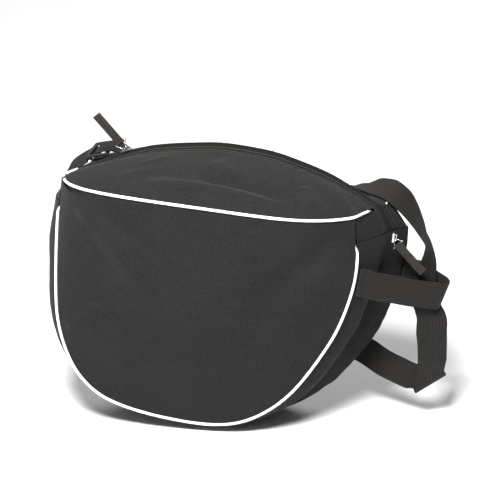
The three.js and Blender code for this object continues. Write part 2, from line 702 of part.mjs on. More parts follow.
function tapeSheet(side) {
  const lines = side < 0 ? tape.front : tape.rear;
  const bead = 1 - COIL_WIDTH / TAPE_WIDTH;
  const shares = [0, bead * 0.55, bead, bead + (1 - bead) * 0.4, 1];
  const grow = [0, 0, 0, COIL_HEIGHT, COIL_HEIGHT * 0.55];
  const rows = lines.map(([a, b]) => shares.map((s) => a.clone().lerp(b, s)));
  return { sheet: gridSheet(rows, side < 0), grow: rows.flatMap(() => grow) };
}
for (const [name, side] of [['tape_front', -1], ['tape_rear', 1]]) {
  const { sheet, grow } = tapeSheet(side);
  addSheet(name, sheet, TAPE_LOOK, grow);
}

// Top halves

/** Top outline of one half, from the left tape seam round the panel's top edge to the right tape seam. */
function topOutline(side) {
  const shares = side < 0 ? wallShares.front : [...wallShares.rear].reverse();
  const line = [];
  for (let k = WALL_COLUMNS; k > 0; k -= 1) line.push(wallPoint(0, shares[k]));
  for (let k = 0; k < PANEL_COLUMNS; k += 1) line.push(topEdge(side, columnShare(k)));
  for (let k = 0; k <= WALL_COLUMNS; k += 1) line.push(wallPoint(LAST, shares[k]));
  return line.map(place);
}

const outline = { front: topOutline(-1), rear: topOutline(1) };

/** Surface between the outline and the tape seam, blended from its four edges. */
function topSheet(side) {
  const outer = side < 0 ? outline.front : outline.rear;
  const seamLine = (side < 0 ? tape.front : tape.rear).map((pair) => pair[0]);
  const first = CAP_ROWS;
  const left = seamLine.slice(first, first + TOP_ROWS + 1);
  const inner = seamLine.slice(first + TOP_ROWS, first + TOP_ROWS + OUTER_STEPS + 1);
  const right = seamLine.slice(first + TOP_ROWS + OUTER_STEPS).slice(0, TOP_ROWS + 1).reverse();
  const dome = side < 0 ? TOP_DOME : -REAR_SAG;
  const rows = [];
  for (let j = 0; j <= TOP_ROWS; j += 1) {
    const w = j / TOP_ROWS;
    const row = [];
    for (let k = 0; k <= OUTER_STEPS; k += 1) {
      const u = k / OUTER_STEPS;
      const along = outer[k].clone().lerp(inner[k], w);
      const across = left[j].clone().lerp(right[j], u);
      const corner = outer[0].clone().lerp(outer[OUTER_STEPS], u);
      corner.lerp(inner[0].clone().lerp(inner[OUTER_STEPS], u), w);
      const p = along.add(across).sub(corner);
      p.z += dome * 4 * w * (1 - w) * Math.min(1, 8 * u * (1 - u));
      row.push(p);
    }
    rows.push(row);
  }
  return gridSheet(rows, side > 0);
}
addSheet('top_front', topSheet(-1), CLOTH_LOOK);
addSheet('top_rear', topSheet(1), CLOTH_LOOK);

// Piping lines

const rowAfter = (start) => {
  let i = 0;
  while (seamRun[i] < start) i += 1;
  return i;
};
const pipeFirst = rowAfter(PIPING_START);
const pipeLast = LAST - rowAfter(PIPING_STOP);
const pipeLines = {
  piping_front: seam.front.slice(pipeFirst, pipeLast + 1).map(place),
  piping_back: seam.rear.slice(pipeFirst, pipeLast + 1).map(place),
  piping_top_front: outline.front,
  piping_top_rear: outline.rear,
};
const markPiped = (line) => {
  for (let k = 0; k + 1 < line.length; k += 1) pipedEdges.set(edgeKey(line[k], line[k + 1]), true);
};
const around = (line) => line.slice(pipeFirst - 1, pipeLast + 2).map(place);
markPiped(around(seam.front));
markPiped(around(seam.rear));
markPiped(outline.front);
markPiped(outline.rear);

const markWide = (line) => {
  for (let k = 0; k + 1 < line.length; k += 1) wideEdges.set(edgeKey(line[k], line[k + 1]), true);
};
for (const sheet of sheets) {
  if (sheet.name.startsWith('tape')) {
    markWide(sheet.rows[0]);
    markWide(sheet.rows[sheet.rows.length - 1]);
  }
  if (sheet.name.startsWith('top')) {
    markWide(sheet.rows.map((row) => row[0]));
    markWide(sheet.rows.map((row) => row[row.length - 1]));
  }
}

const inward = inwardVectors();
for (const sheet of sheets) addMesh(sheet.name, sheetGeometry(sheet, inward), sheet.look);

/** Closed sweep of a section along centres with their own frames. */
function sweep(centres, frames, section, closed = false) {
  const n = section.length;
  const points = [];
  centres.forEach((c, i) => {
    const { a, b, size = 1 } = frames[i];
    for (const [u, v] of section) {
      points.push(c.clone().addScaledVector(a, u * size).addScaledVector(b, v * size));
    }
  });
  const index = [];
  const count = closed ? centres.length : centres.length - 1;
  for (let i = 0; i < count; i += 1) {
    const p = i * n;
    const q = ((i + 1) % centres.length) * n;
    for (let j = 0; j < n; j += 1) {
      const k = (j + 1) % n;
      index.push(p + j, p + k, q + k, p + j, q + k, q + j);
    }
  }
  if (!closed) {
    const end = (centres.length - 1) * n;
    for (let j = 1; j + 1 < n; j += 1) index.push(0, j + 1, j, end, end + j, end + j + 1);
  }
  return outward(fromPoints(points, index));
}

/** Turns all faces if the enclosed volume comes out negative. */
function outward(g) {
  const p = g.attributes.position;
  const at = (k) => V(p.getX(k), p.getY(k), p.getZ(k));
  const idx = g.index.array;
  let volume = 0;
  for (let t = 0; t < idx.length; t += 3) volume += at(idx[t]).dot(at(idx[t + 1]).cross(at(idx[t + 2])));
  if (volume < 0) {
    for (let t = 0; t < idx.length; t += 3) [idx[t + 1], idx[t + 2]] = [idx[t + 2], idx[t + 1]];
  }
  return g;
}

const polygon = (sides, radius) => {
  const list = [];
  for (let k = 0; k < sides; k += 1) {
    const t = (2 * Math.PI * (k + 0.5)) / sides;
    list.push([radius * Math.cos(t), radius * Math.sin(t)]);
  }
  return list;
};

/** Round cord in a seam, standing proud of it, with a tapered last step at both ends. */
function pipingGeometry(line, trim) {
  const pts = line.map((p) => {
    const out = inward.get(keyOf(p)).clone().normalize().negate();
    return { c: p.clone().addScaledVector(out, PIPING_PROUD), out };
  });
  const last = pts.length - 1;
  if (trim > 0) {
    pts[0].c.lerp(pts[1].c, trim / pts[0].c.distanceTo(pts[1].c));
    pts[last].c.lerp(pts[last - 1].c, trim / pts[last].c.distanceTo(pts[last - 1].c));
  }
  const frames = pts.map(({ out }, i) => {
    const t = pts[Math.min(last, i + 1)].c.clone().sub(pts[Math.max(0, i - 1)].c).normalize();
    const b = t.clone().cross(out).normalize();
    const a = b.clone().cross(t).normalize();
    return { a, b, size: i === 0 || i === last ? 0.7 : 1 };
  });
  return sweep(pts.map((p) => p.c), frames, polygon(6, PIPING_RADIUS));
}
for (const [name, line] of Object.entries(pipeLines)) {
  const trim = name.includes('top') ? PIPING_RADIUS * 0.6 : 0;
  addMesh(name, pipingGeometry(line, trim), PIPING_LOOK);
}

// Webbing

const ray = new THREE.Raycaster();

/** How far above the given pieces a point lies along direction up, or null where there is nothing. */
function heightAbove(names, point, up) {
  ray.set(point.clone().addScaledVector(up, 90), up.clone().negate());
  ray.far = 180;
  const hits = ray.intersectObjects(names.map((n) => meshes.get(n)));
  return hits.length ? 90 - hits[0].distance : null;
}

/** How far a station must move along its normal for the webbing to lie just clear of the pieces. */
function liftOf(station, along, names) {
  let lift = -Infinity;
  for (const ahead of [-FEEL_AHEAD, 0, FEEL_AHEAD]) {
    for (let k = -8; k <= 8; k += 1) {
      const p = station.c.clone().addScaledVector(along, ahead);
      p.addScaledVector(station.d, (k / 8) * (WEBBING_WIDTH / 2 + 1));
      const h = heightAbove(names, p, station.n);
      if (h !== null) lift = Math.max(lift, h);
    }
  }
  return lift + WEBBING_THICKNESS / 2 + REST_CLEARANCE;
}

const bagMiddle = place(V(REAR_SHIFT / 2, 0, PANEL_HEIGHT / 2));
const fromShares = (r) => place(V(r.x * HALF, r.y * HALF_DEPTH, r.z * PANEL_HEIGHT));

/** Ribbon of webbing through stations with centre c and width direction d. */
function webbingGeometry(stations) {
  const last = stations.length - 1;
  const frames = stations.map((s, i) => {
    const t = stations[Math.min(last, i + 1)].c.clone().sub(stations[Math.max(0, i - 1)].c).normalize();
    const b = t.clone().cross(s.d).normalize();
    return { a: s.d, b };
  });
  const w = WEBBING_WIDTH / 2;
  const h = WEBBING_THICKNESS / 2;
  return sweep(stations.map((s) => s.c), frames, [[-w, -h], [w, -h], [w, h], [-w, h]]);
}

/** Even stations along a smooth line through rows of centre and width direction. */
function smoothStations(rows, step) {
  const centre = new THREE.CatmullRomCurve3(rows.map((r) => r.c), false, 'centripetal');
  const out = [];
  const count = rows.length - 1;
  for (let k = 0; k < count; k += 1) {
    const length = rows[k].c.distanceTo(rows[k + 1].c);
    const parts = Math.max(1, Math.round(length / step));
    for (let j = 0; j < parts; j += 1) {
      const f = j / parts;
      const d = rows[k].d.clone().lerp(rows[k + 1].d, smooth(f)).normalize();
      const [rest, next] = [rows[k].rest ?? 0, rows[k + 1].rest ?? 0];
      const between = rest === next || rest * next === 0 ? Math.min(rest, next) : KEPT_CLEAR;
      out.push({ c: centre.getPoint((k + f) / count), d, rest: j === 0 ? rest : between });
    }
  }
  out.push({ ...rows[count] });
  return out;
}

const toManifold = (g) => {
  const w = welded(g.clone());
  return new wasm.Manifold(new wasm.Mesh({
    numProp: 3,
    vertProperties: new Float32Array(w.attributes.position.array),
    triVerts: new Uint32Array(w.index.array),
  }));
};
const fromManifold = (m) => {
  const mesh = m.getMesh();
  const g = new THREE.BufferGeometry();
  g.setAttribute('position', new THREE.BufferAttribute(new Float32Array(mesh.vertProperties), 3));
  g.setIndex(new THREE.BufferAttribute(new Uint32Array(mesh.triVerts), 1));
  g.computeVertexNormals();
  return g;
};

/** Moves a geometry along a direction in small steps until it is clear of the given pieces. */
function clearOf(geometry, names, direction) {
  const others = names.map((n) => toManifold(meshes.get(n).geometry));
  const step = direction.clone().setLength(0.2);
  const touches = () => {
    const body = toManifold(geometry);
    return others.some((other) => Math.abs(body.intersect(other).volume()) > 1e-4);
  };
  let moved = 0;
  while (moved < 60 && touches()) {
    geometry.translate(step.x, step.y, step.z);
    moved += 1;
  }
  if (moved > 0) geometry.translate(step.x * 1.5, step.y * 1.5, step.z * 1.5);
  return step.multiplyScalar(moved > 0 ? moved + 1.5 : 0);
}

// Strap adjuster: where it lies, which way the webbing runs through it, and its own axes.
const GLIDE_SLOT = (GLIDE_LENGTH - 3.4 * GLIDE_BAR) / 2;
const glideCentre = fromShares(GLIDE);
const glideAcross = turn(V(GLIDE.wx, GLIDE.wy, GLIDE.wz));
const glideAlong = (() => {
  const t = turn(V(GLIDE.tx, 0, GLIDE.tz));
  return t.addScaledVector(glideAcross, -t.dot(glideAcross)).normalize();
})();
const glideUp = glideAcross.clone().cross(glideAlong).normalize();
if (glideUp.z < 0) glideUp.negate();

// The adjuster is lifted until it and the webbing under it are clear of the bag.
{
  const depth = GLIDE_THICKNESS + 2 * (WEBBING_THICKNESS + 2 * GAP);
  const feeler = new THREE.BoxGeometry(GLIDE_WIDTH, GLIDE_LENGTH + 2 * GLIDE_ROOM, depth);
  const side = glideUp.clone().cross(glideAcross);
  feeler.applyMatrix4(new THREE.Matrix4().makeBasis(glideAcross, side, glideUp).setPosition(glideCentre));
  glideCentre.add(clearOf(feeler, ['top_rear', 'tape_rear', 'piping_top_rear', 'cap_left_rear'], glideUp));
}

function glideGeometry() {
  const w = GLIDE_WIDTH / 2;
  const l = GLIDE_LENGTH / 2;
  const r = GLIDE_BAR * 0.8;
  const shape = new THREE.Shape();
  shape.moveTo(-w + r, -l);
  shape.lineTo(w - r, -l);
  shape.absarc(w - r, -l + r, r, -Math.PI / 2, 0, false);
  shape.absarc(w - r, l - r, r, 0, Math.PI / 2, false);
  shape.absarc(-w + r, l - r, r, Math.PI / 2, Math.PI, false);
  shape.absarc(-w + r, -l + r, r, Math.PI, Math.PI * 1.5, false);
  const slot = GLIDE_SLOT;
  const opening = (w0) => {
    const hole = new THREE.Path();
    const x = w - GLIDE_BAR;
    hole.moveTo(-x, w0);
    hole.lineTo(-x, w0 + slot);
    hole.lineTo(x, w0 + slot);
    hole.lineTo(x, w0);
    return hole;
  };
  shape.holes.push(opening(-l + GLIDE_BAR), opening(l - GLIDE_BAR - slot));
  const g = new THREE.ExtrudeGeometry(shape, {
    depth: GLIDE_THICKNESS,
    bevelEnabled: false,
    curveSegments: 3,
  });
  g.translate(0, 0, -GLIDE_THICKNESS / 2);
  const up = glideUp;
  const along = up.clone().cross(glideAcross);
  const basis = new THREE.Matrix4().makeBasis(glideAcross, along, up).setPosition(glideCentre);
  return welded(g.applyMatrix4(basis));
}

/** Merges equal points so that the geometry is one closed indexed body. */
function welded(g) {
  g.deleteAttribute('normal');
  g.deleteAttribute('uv');
  const merged = mergeVertices(g, 1e-4);
  merged.computeVertexNormals();
  return merged;
}
addMesh('triglide', glideGeometry(), PLASTIC_LOOK);

/** Webbing under the first bar of the adjuster, up through its slot and over the other bars. */
function glideStations() {
  const off = GLIDE_THICKNESS / 2 + STRAP_CLEARANCE + WEBBING_THICKNESS / 2;
  const l = GLIDE_LENGTH / 2;
  const enter = -l + GLIDE_BAR + 0.07 * GLIDE_SLOT;
  const leave = -l + GLIDE_BAR + 0.9 * GLIDE_SLOT;
  const table = [
    { along: -l - GLIDE_ROOM, up: -off },
    { along: enter, up: -off },
    { along: leave, up: off },
    { along: 0.5 * l, up: off },
    { along: l + 0.5 * GLIDE_ROOM, up: off },
  ];
  return table.map((r) => ({
    c: glideCentre.clone().addScaledVector(glideAlong, r.along).addScaledVector(glideUp, r.up),
    d: glideAcross.clone(),
  }));
}

const stationOf = (r) => ({ c: fromShares(r), d: turn(V(r.wx, r.wy, r.wz)), rest: r.rest });
const FEEL_AHEAD = 4;
const REST_CLEARANCE = 0.9;
const REST_ON = ['top_rear', 'tape_rear', 'cap_right_rear', 'cap_left_rear', 'piping_top_rear', 'gusset'];

/** First stations of the strap, sewn flat against the left side behind the middle. */
function strapStart() {
  return [CAP_ROWS + 2, CAP_ROWS + 1.4, CAP_ROWS + 0.8].map((row) => {
    const c = wall(row, 0.78).addScaledVector(turn(wallOut(Math.round(row))), WEBBING_THICKNESS);
    return { c, d: wall(row, 0.7).sub(wall(row, 0.86)).normalize(), rest: ON_SIDE };
  });
}

/** Turns a station that lies on the top to the slope under it. */
function lieFlat(s) {
  const flat = V(s.d.x, s.d.y, 0).normalize();
  const span = WEBBING_WIDTH * 0.9;
  const z = [-0.5, 0.5].map((k) => {
    const p = s.c.clone().addScaledVector(flat, k * span);
    const h = heightAbove(REST_ON, p, V(0, 0, 1));
    return h === null ? p.z : p.z + h;
  });
  s.d = flat.clone().multiplyScalar(span).add(V(0, 0, z[1] - z[0])).normalize();
  s.c.z = (z[0] + z[1]) / 2;
}

/** Lays webbing on the bag: on the top from above, on a side along its normal, or only kept clear. */
function layDown(stations) {
  const last = stations.length - 1;
  const lifts = stations.map((s, i) => {
    if (!s.rest) return 0;
    if (s.rest === ON_TOP) lieFlat(s);
    const along = stations[Math.min(last, i + 1)].c.clone();
    along.sub(stations[Math.max(0, i - 1)].c).normalize();
    s.n = s.rest === ON_TOP ? V(0, 0, 1) : along.clone().cross(s.d).normalize();
    if (s.n.dot(s.c.clone().sub(bagMiddle)) < 0) s.n.negate();
    const lift = liftOf(s, along, REST_ON);
    if (lift === -Infinity) return 0;
    return s.rest === KEPT_CLEAR ? Math.max(0, lift) : lift;
  });
  const near = (list, i, k) => (stations[i + k]?.rest ? list[i + k] : list[i]);
  const even = lifts.map((h, i) => (h + near(lifts, i, -1) + near(lifts, i, 1)) / 3);
  stations.forEach((s, i) => {
    if (s.rest) s.c.addScaledVector(s.n, Math.max(even[i], lifts[i]));
  });
  return stations;
}

/** Flat turn of the strap at its lowest point, a half circle about a slanted line. */
function strapFold() {
  const c = fromShares(STRAP_FOLD);
  const d = turn(V(STRAP_FOLD.wx, 0, STRAP_FOLD.wz));
  const depth = V(0, 1, 0);
  const away = d.clone().cross(depth).normalize();
  if (away.z > 0) away.negate();
  const list = [];
  for (const angle of [-60, -30, 0, 30, 60, 90]) {
    const a = THREE.MathUtils.degToRad(angle);
    const p = c.clone().addScaledVector(away, STRAP_FOLD.radius * Math.cos(a));
    p.addScaledVector(depth, STRAP_FOLD.radius * (1 + Math.sin(a)));
    list.push({ c: p, d: d.clone() });
  }
  return list;
}

/** Last stations of the strap, sewn flat on the back panel near its lower right seam. */
function strapFinish() {
  const row = STRAP_END[STRAP_END.length - 1];
  const list = [];
  for (const share of [0.93, 0.86, 0.77]) {
    const x = REAR_SHIFT + share * HALF * 0.86;
    const z = row.z * PANEL_HEIGHT + (0.93 - share) * HALF * 0.2;
    const c = place(V(x, panelDepth(1, x, z), z));
    const d = turn(V(-0.3, 0, -0.95));
    const n = V(0, 1, 0);
    const lift = liftOf({ c, d, n }, d.clone().cross(n), ['back_panel', 'piping_back', 'gusset']);
    list.push({ c: c.addScaledVector(n, lift), d });
  }
  return list;
}

const glideRun = glideStations();
const strapTopRows = [glideRun[glideRun.length - 1], ...STRAP_TOP.map(stationOf)];
const strapStations = [
  ...layDown(smoothStations([...strapStart(), ...STRAP_LEFT.map(stationOf), glideRun[0]], 8)).slice(0, -1),
  ...glideRun.slice(0, -1),
  ...layDown(smoothStations(layDown(strapTopRows), 10)),
  ...strapFold(),
  ...smoothStations([...STRAP_END.map(stationOf), ...strapFinish()], 13),
];
addMesh('shoulder_strap', webbingGeometry(strapStations), WEBBING_LOOK);

/** Side loop: sewn by the front seam, out to the strap, round it and back to the rear seam. */
function loopStations() {
  const row = LAST - CAP_ROWS - LOOP_ROW;
  const n = turn(wallOut(Math.round(row)));
  const sewn = (v) => {
    const d = wall(row + 1, v).sub(wall(row - 1, v)).normalize();
    return { c: wall(row, v).addScaledVector(n, WEBBING_THICKNESS), d, n, rest: ON_SIDE };
  };
  const free = LOOP_FREE.map((r) => ({ c: fromShares(r), d: turn(V(r.slant, 0, 1)), rest: r.rest ?? 0 }));
  return layDown(smoothStations([sewn(0.03), sewn(0.05), ...free, ...[0.7, 0.8, 0.88, 0.93].map(sewn)], 7));
}
addMesh('side_loop', webbingGeometry(loopStations()), WEBBING_LOOK);

// Sliders, wire loops and ribbon pulls

/** Slider body: a plate with side flanges over the coils and a small bridge for the wire loop. */
function sliderGeometry() {
  const w = SLIDER_WIDTH / 2;
  const flange = SLIDER_FLANGE;
  const drop = COIL_HEIGHT * 0.7;
  const profile = new THREE.Shape([
    [-w, -drop], [-w + flange, -drop], [-w + flange, 0], [w - flange, 0],
    [w - flange, -drop], [w, -drop], [w, SLIDER_PLATE], [-w, SLIDER_PLATE],
  ].map(([x, y]) => new THREE.Vector2(x, y)));
  const plate = new THREE.ExtrudeGeometry(profile, { depth: SLIDER_LENGTH, bevelEnabled: false });
  plate.rotateX(Math.PI / 2);
  plate.rotateZ(Math.PI / 2);
  plate.translate(-SLIDER_LENGTH / 2, 0, 0);
  const span = SLIDER_LENGTH * 0.36;
  const hole = 2 * WIRE_RADIUS + 2 * GAP;
  const leg = BRIDGE_LEG;
  const arch = new THREE.Shape([
    [-span, -BRIDGE_SINK], [-span + leg, -BRIDGE_SINK], [-span + leg, hole], [span - leg, hole],
    [span - leg, -BRIDGE_SINK], [span, -BRIDGE_SINK], [span, hole + leg], [-span, hole + leg],
  ].map(([x, y]) => new THREE.Vector2(x, y)));
  const bridge = new THREE.ExtrudeGeometry(arch, { depth: BRIDGE_WIDTH, bevelEnabled: false });
  bridge.translate(0, 0, -BRIDGE_WIDTH / 2);
  bridge.rotateX(Math.PI / 2);
  bridge.translate(0, 0, SLIDER_PLATE);
  return fromManifold(toManifold(plate).add(toManifold(bridge)));
}

/** Ribbon folded round the wire: an eye and a flat tail, extruded across its width. */
function ribbonGeometry() {
  const eye = WIRE_RADIUS + 2 * GAP;
  const rim = eye + RIBBON_THICKNESS * 0.5;
  const h = RIBBON_THICKNESS / 2;
  const shape = new THREE.Shape();
  const start = Math.asin(h / rim);
  shape.moveTo(RIBBON_LENGTH, -h);
  shape.lineTo(RIBBON_LENGTH, h);
  shape.lineTo(rim * Math.cos(start), h);
  shape.absarc(0, 0, rim, start, 2 * Math.PI - start, false);
  const hole = new THREE.Path();
  hole.absarc(0, 0, eye, 0, 2 * Math.PI, true);
  shape.holes.push(hole);
  const g = new THREE.ExtrudeGeometry(shape, { depth: RIBBON_WIDTH, bevelEnabled: false, curveSegments: 8 });
  g.translate(0, 0, -RIBBON_WIDTH / 2);
  return g;
}

/** Closed wire through the slider's bridge and the ribbon's eye, twisted between them. */
function wireGeometry(base, near, far, reachDir) {
  const nearHalf = WIRE_NEAR;
  const farHalf = RIBBON_WIDTH / 2 + WIRE_SPARE;
  const tip = base.clone().addScaledVector(reachDir, WIRE_REACH);
  const side = (c, dir, k) => c.clone().addScaledVector(dir, k);
  const mid = near.clone().lerp(far, 0.5).normalize();
  const half = (nearHalf + farHalf) / 2;
  const middle = base.clone().lerp(tip, 0.5);
  const path = [
    side(base, near, -nearHalf), side(base, near, nearHalf), side(middle, mid, half),
    side(tip, far, farHalf), side(tip, far, -farHalf), side(middle, mid, -half),
  ];
  const n = path.length;
  const frames = path.map((p, i) => {
    const before = p.clone().sub(path[(i + n - 1) % n]).normalize();
    const after = path[(i + 1) % n].clone().sub(p).normalize();
    const t = before.clone().add(after).normalize();
    const centre = base.clone().lerp(tip, 0.5);
    const out = p.clone().sub(centre);
    out.addScaledVector(t, -out.dot(t)).normalize();
    const stretch = 1 / Math.max(0.6, Math.cos(before.angleTo(after) / 2));
    return { a: out.multiplyScalar(stretch), b: t.clone().cross(out).normalize() };
  });
  return sweep(path, frames, polygon(6, WIRE_RADIUS), true);
}

/** One slider with its wire and ribbon, on the coils at a point with the given directions. */
function addPull(tag, base, along, up, reach, tail, far) {
  const across = up.clone().cross(along).normalize();
  const seat = COIL_HEIGHT + GAP + 0.1;
  const basis = new THREE.Matrix4().makeBasis(along, across, up);
  basis.setPosition(base.clone().addScaledVector(up, seat));
  const slider = sliderGeometry().applyMatrix4(basis);
  const raised = clearOf(slider, ['tape_front', 'tape_rear', 'gusset', 'top_front'], up);
  addMesh(`slider_${tag}`, slider, METAL_LOOK);
  const hub = base.clone().add(raised).addScaledVector(up, seat + SLIDER_PLATE + WIRE_RADIUS + GAP);
  const dir = reach.clone().normalize();
  const tailDir = tail.clone().normalize();
  const farDir = far.clone().addScaledVector(tailDir, -far.dot(tailDir)).normalize();
  addMesh(`wire_${tag}`, wireGeometry(hub, across, farDir, dir), METAL_LOOK);
  const tip = hub.clone().addScaledVector(dir, WIRE_REACH);
  const normal = farDir.clone().cross(tailDir).normalize();
  const seatOn = new THREE.Matrix4().makeBasis(tailDir, normal, tailDir.clone().cross(normal));
  seatOn.setPosition(tip);
  addMesh(`pull_${tag}`, welded(ribbonGeometry().applyMatrix4(seatOn)), WEBBING_LOOK);
}

{
  const t = SLIDER_LEFT_AT;
  const at = (s) => place(coilEdge(-1, s).add(coilEdge(1, s)).multiplyScalar(0.5));
  const along = at(t + 0.02).sub(at(t - 0.02)).normalize();
  const up = turn(V(0, 0, 1));
  up.addScaledVector(along, -up.dot(along)).normalize();
  const reach = turn(V(-0.7, -0.12, 0.68));
  addPull('left', at(t), along, up, reach, reach, turn(V(0.68, 0, 0.72)));
}
{
  const at = (i) => wall(i, 0.5);
  const row = LAST - CAP_ROWS - 0.35;
  const along = at(row + 0.4).sub(at(row - 0.4)).normalize();
  const up = turn(wallOut(LAST - CAP_ROWS));
  up.addScaledVector(along, -up.dot(along)).normalize();
  const reach = turn(V(0.52, -0.3, -0.8));
  const tail = turn(V(0.74, -0.16, -0.56));
  addPull('right', at(row), along, up, reach, tail, turn(V(0.5, 0.1, 0.8)));
}

// Assembly

const bag = new THREE.Group();
for (const mesh of meshes.values()) bag.add(mesh);
const box = new THREE.Box3().setFromObject(bag);
bag.position.set(-(box.min.x + box.max.x) / 2, -(box.min.y + box.max.y) / 2, -box.min.z);

const helmetBag = new THREE.Group();
helmetBag.add(bag);

export default helmetBag;
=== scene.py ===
"""Soft half-moon helmet bag, dressed for a studio picture.

Every cloth piece is a fine copy of its solid in the frame, drawn with folds, puckers and wrinkles
worked out with numpy. The webbing is a ribbed profile carried along the borders of its solid.
Lengths are in metres, in the frame's own axes: X to the right, -Y to the viewer, Z up.
"""

import logging
import math
from dataclasses import dataclass
from enum import Enum

import bmesh
import bpy
import numpy as np
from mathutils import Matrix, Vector
from mathutils.kdtree import KDTree


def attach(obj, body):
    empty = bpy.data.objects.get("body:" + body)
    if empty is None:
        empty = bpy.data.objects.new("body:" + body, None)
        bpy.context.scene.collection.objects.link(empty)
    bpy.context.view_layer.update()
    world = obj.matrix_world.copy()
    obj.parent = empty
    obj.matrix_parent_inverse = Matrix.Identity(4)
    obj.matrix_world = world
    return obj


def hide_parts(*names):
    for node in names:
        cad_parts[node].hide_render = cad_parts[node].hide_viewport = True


logging.basicConfig(level=logging.INFO, format="%(message)s")
log = logging.getLogger("helmet_bag")

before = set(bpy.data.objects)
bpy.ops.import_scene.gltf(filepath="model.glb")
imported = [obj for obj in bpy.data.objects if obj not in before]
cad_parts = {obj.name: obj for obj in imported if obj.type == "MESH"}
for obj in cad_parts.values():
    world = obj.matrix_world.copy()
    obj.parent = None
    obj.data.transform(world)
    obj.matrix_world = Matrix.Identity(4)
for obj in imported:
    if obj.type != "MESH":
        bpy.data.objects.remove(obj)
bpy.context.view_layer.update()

Array = np.ndarray
Colour = tuple[float, float, float]
Socket = bpy.types.NodeSocket

MM = 0.001
FULL_TURN = 2 * math.pi
WELD = 2e-6  # corners of a solid that lie closer than this are one
BAG_MIDDLE = np.array([0.0, 0.0, 0.2])


class Slot(Enum):
    """Material slots of the record, one kept with each hard piece."""

    CLOTH = "shell_cloth"
    TAPE = "zip_tape"
    PIPING = "piping"
    WEBBING = "webbing"
    RIBBON = "pull_ribbon"
    PLASTIC = "black_plastic"
    METAL = "zip_metal"


class Facing(Enum):
    """Direction in which a cloth piece swells and wrinkles."""

    FRONT = (0.0, -1.0, 0.0)
    BACK = (0.0, 1.0, 0.0)
    TOP_FRONT = (0.0, -0.5, 0.87)
    TOP_REAR = (0.0, 0.5, 0.87)
    AROUND = None


# Surfaces


def put_in_scene(name: str, data: bpy.types.ID) -> bpy.types.Object:
    """A new object in the scene that shows a mesh, a light or a camera."""
    thing = bpy.data.objects.new(name, data)
    bpy.context.scene.collection.objects.link(thing)
    return thing


def mesh_arrays(mesh: bpy.types.Mesh) -> Array:
    """Vertex positions of a mesh.

    Args:
        mesh: the mesh to read.

    Returns:
        Positions, one row a vertex.
    """
    co = np.empty(len(mesh.vertices) * 3, np.float32)
    mesh.vertices.foreach_get("co", co)
    return co.reshape(-1, 3).astype(float)


def write_positions(mesh: bpy.types.Mesh, co: Array) -> None:
    """Puts positions back into a mesh."""
    mesh.vertices.foreach_set("co", co.astype(np.float32).ravel())
    mesh.update()


def add_attribute(mesh: bpy.types.Mesh, name: str, values: Array) -> None:
    """Stores one number a vertex under a name that a material reads."""
    layer = mesh.attributes.get(name) or mesh.attributes.new(name, "FLOAT", "POINT")
    layer.data.foreach_set("value", values.astype(np.float32))


def distance_to(points: Array, others: Array) -> Array:
    """Distance from each point to the nearest of the others.

    Args:
        points: points to measure from.
        others: points to measure to.

    Returns:
        One distance for each point.
    """
    tree = KDTree(len(others))
    for i, place in enumerate(others):
        tree.insert(place, i)
    tree.balance()
    return np.array([tree.find(place)[2] for place in points])


def edge_points(node: str, step: float = 1.5 * MM) -> Array:
    """Closely set points on all edges of a solid.

    Args:
        node: name of the solid in the frame.
        step: distance between the points.

    Returns:
        The points.
    """
    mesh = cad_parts[node].data
    co = mesh_arrays(mesh)
    found = []
    for edge in mesh.edges:
        a, b = co[edge.vertices[0]], co[edge.vertices[1]]
        count = max(2, int(np.linalg.norm(b - a) / step))
        found.append(a + (b - a) * np.linspace(0, 1, count)[:, None])
    return np.concatenate(found)


def smooth_step(t: Array) -> Array:
    """Runs from 0 to 1 with level ends: 3t^2 - 2t^3 of t held between 0 and 1."""
    t = np.clip(t, 0, 1)
    return t * t * (3 - 2 * t)


def waves(points: Array, length: float, seed: int, count: int = 7) -> Array:
    """Soft unevenness: the mean of a few plane waves in seeded directions, each bent by another.

    Args:
        points: where to work it out.
        length: wave length in metres.
        seed: number that sets directions and phases.
        count: how many waves are added.

    Returns:
        Values of about -1 to 1, one a point.
    """
    rng = np.random.default_rng(seed)
    phases, bend_depth, bend_length, gain = 6.3, 1.3, 2.3 * length, 1.6
    total = np.zeros(len(points))
    for _ in range(count):
        direction = rng.normal(size=3)
        direction /= np.linalg.norm(direction)
        side = rng.normal(size=3)
        side /= np.linalg.norm(side)
        bend = bend_depth * np.sin(points @ side * (FULL_TURN / bend_length) + rng.uniform(0, phases))
        scale = rng.uniform(0.7, 1.5) * FULL_TURN / length
        total += np.sin(points @ direction * scale + bend + rng.uniform(0, phases))
    return total / count * gain


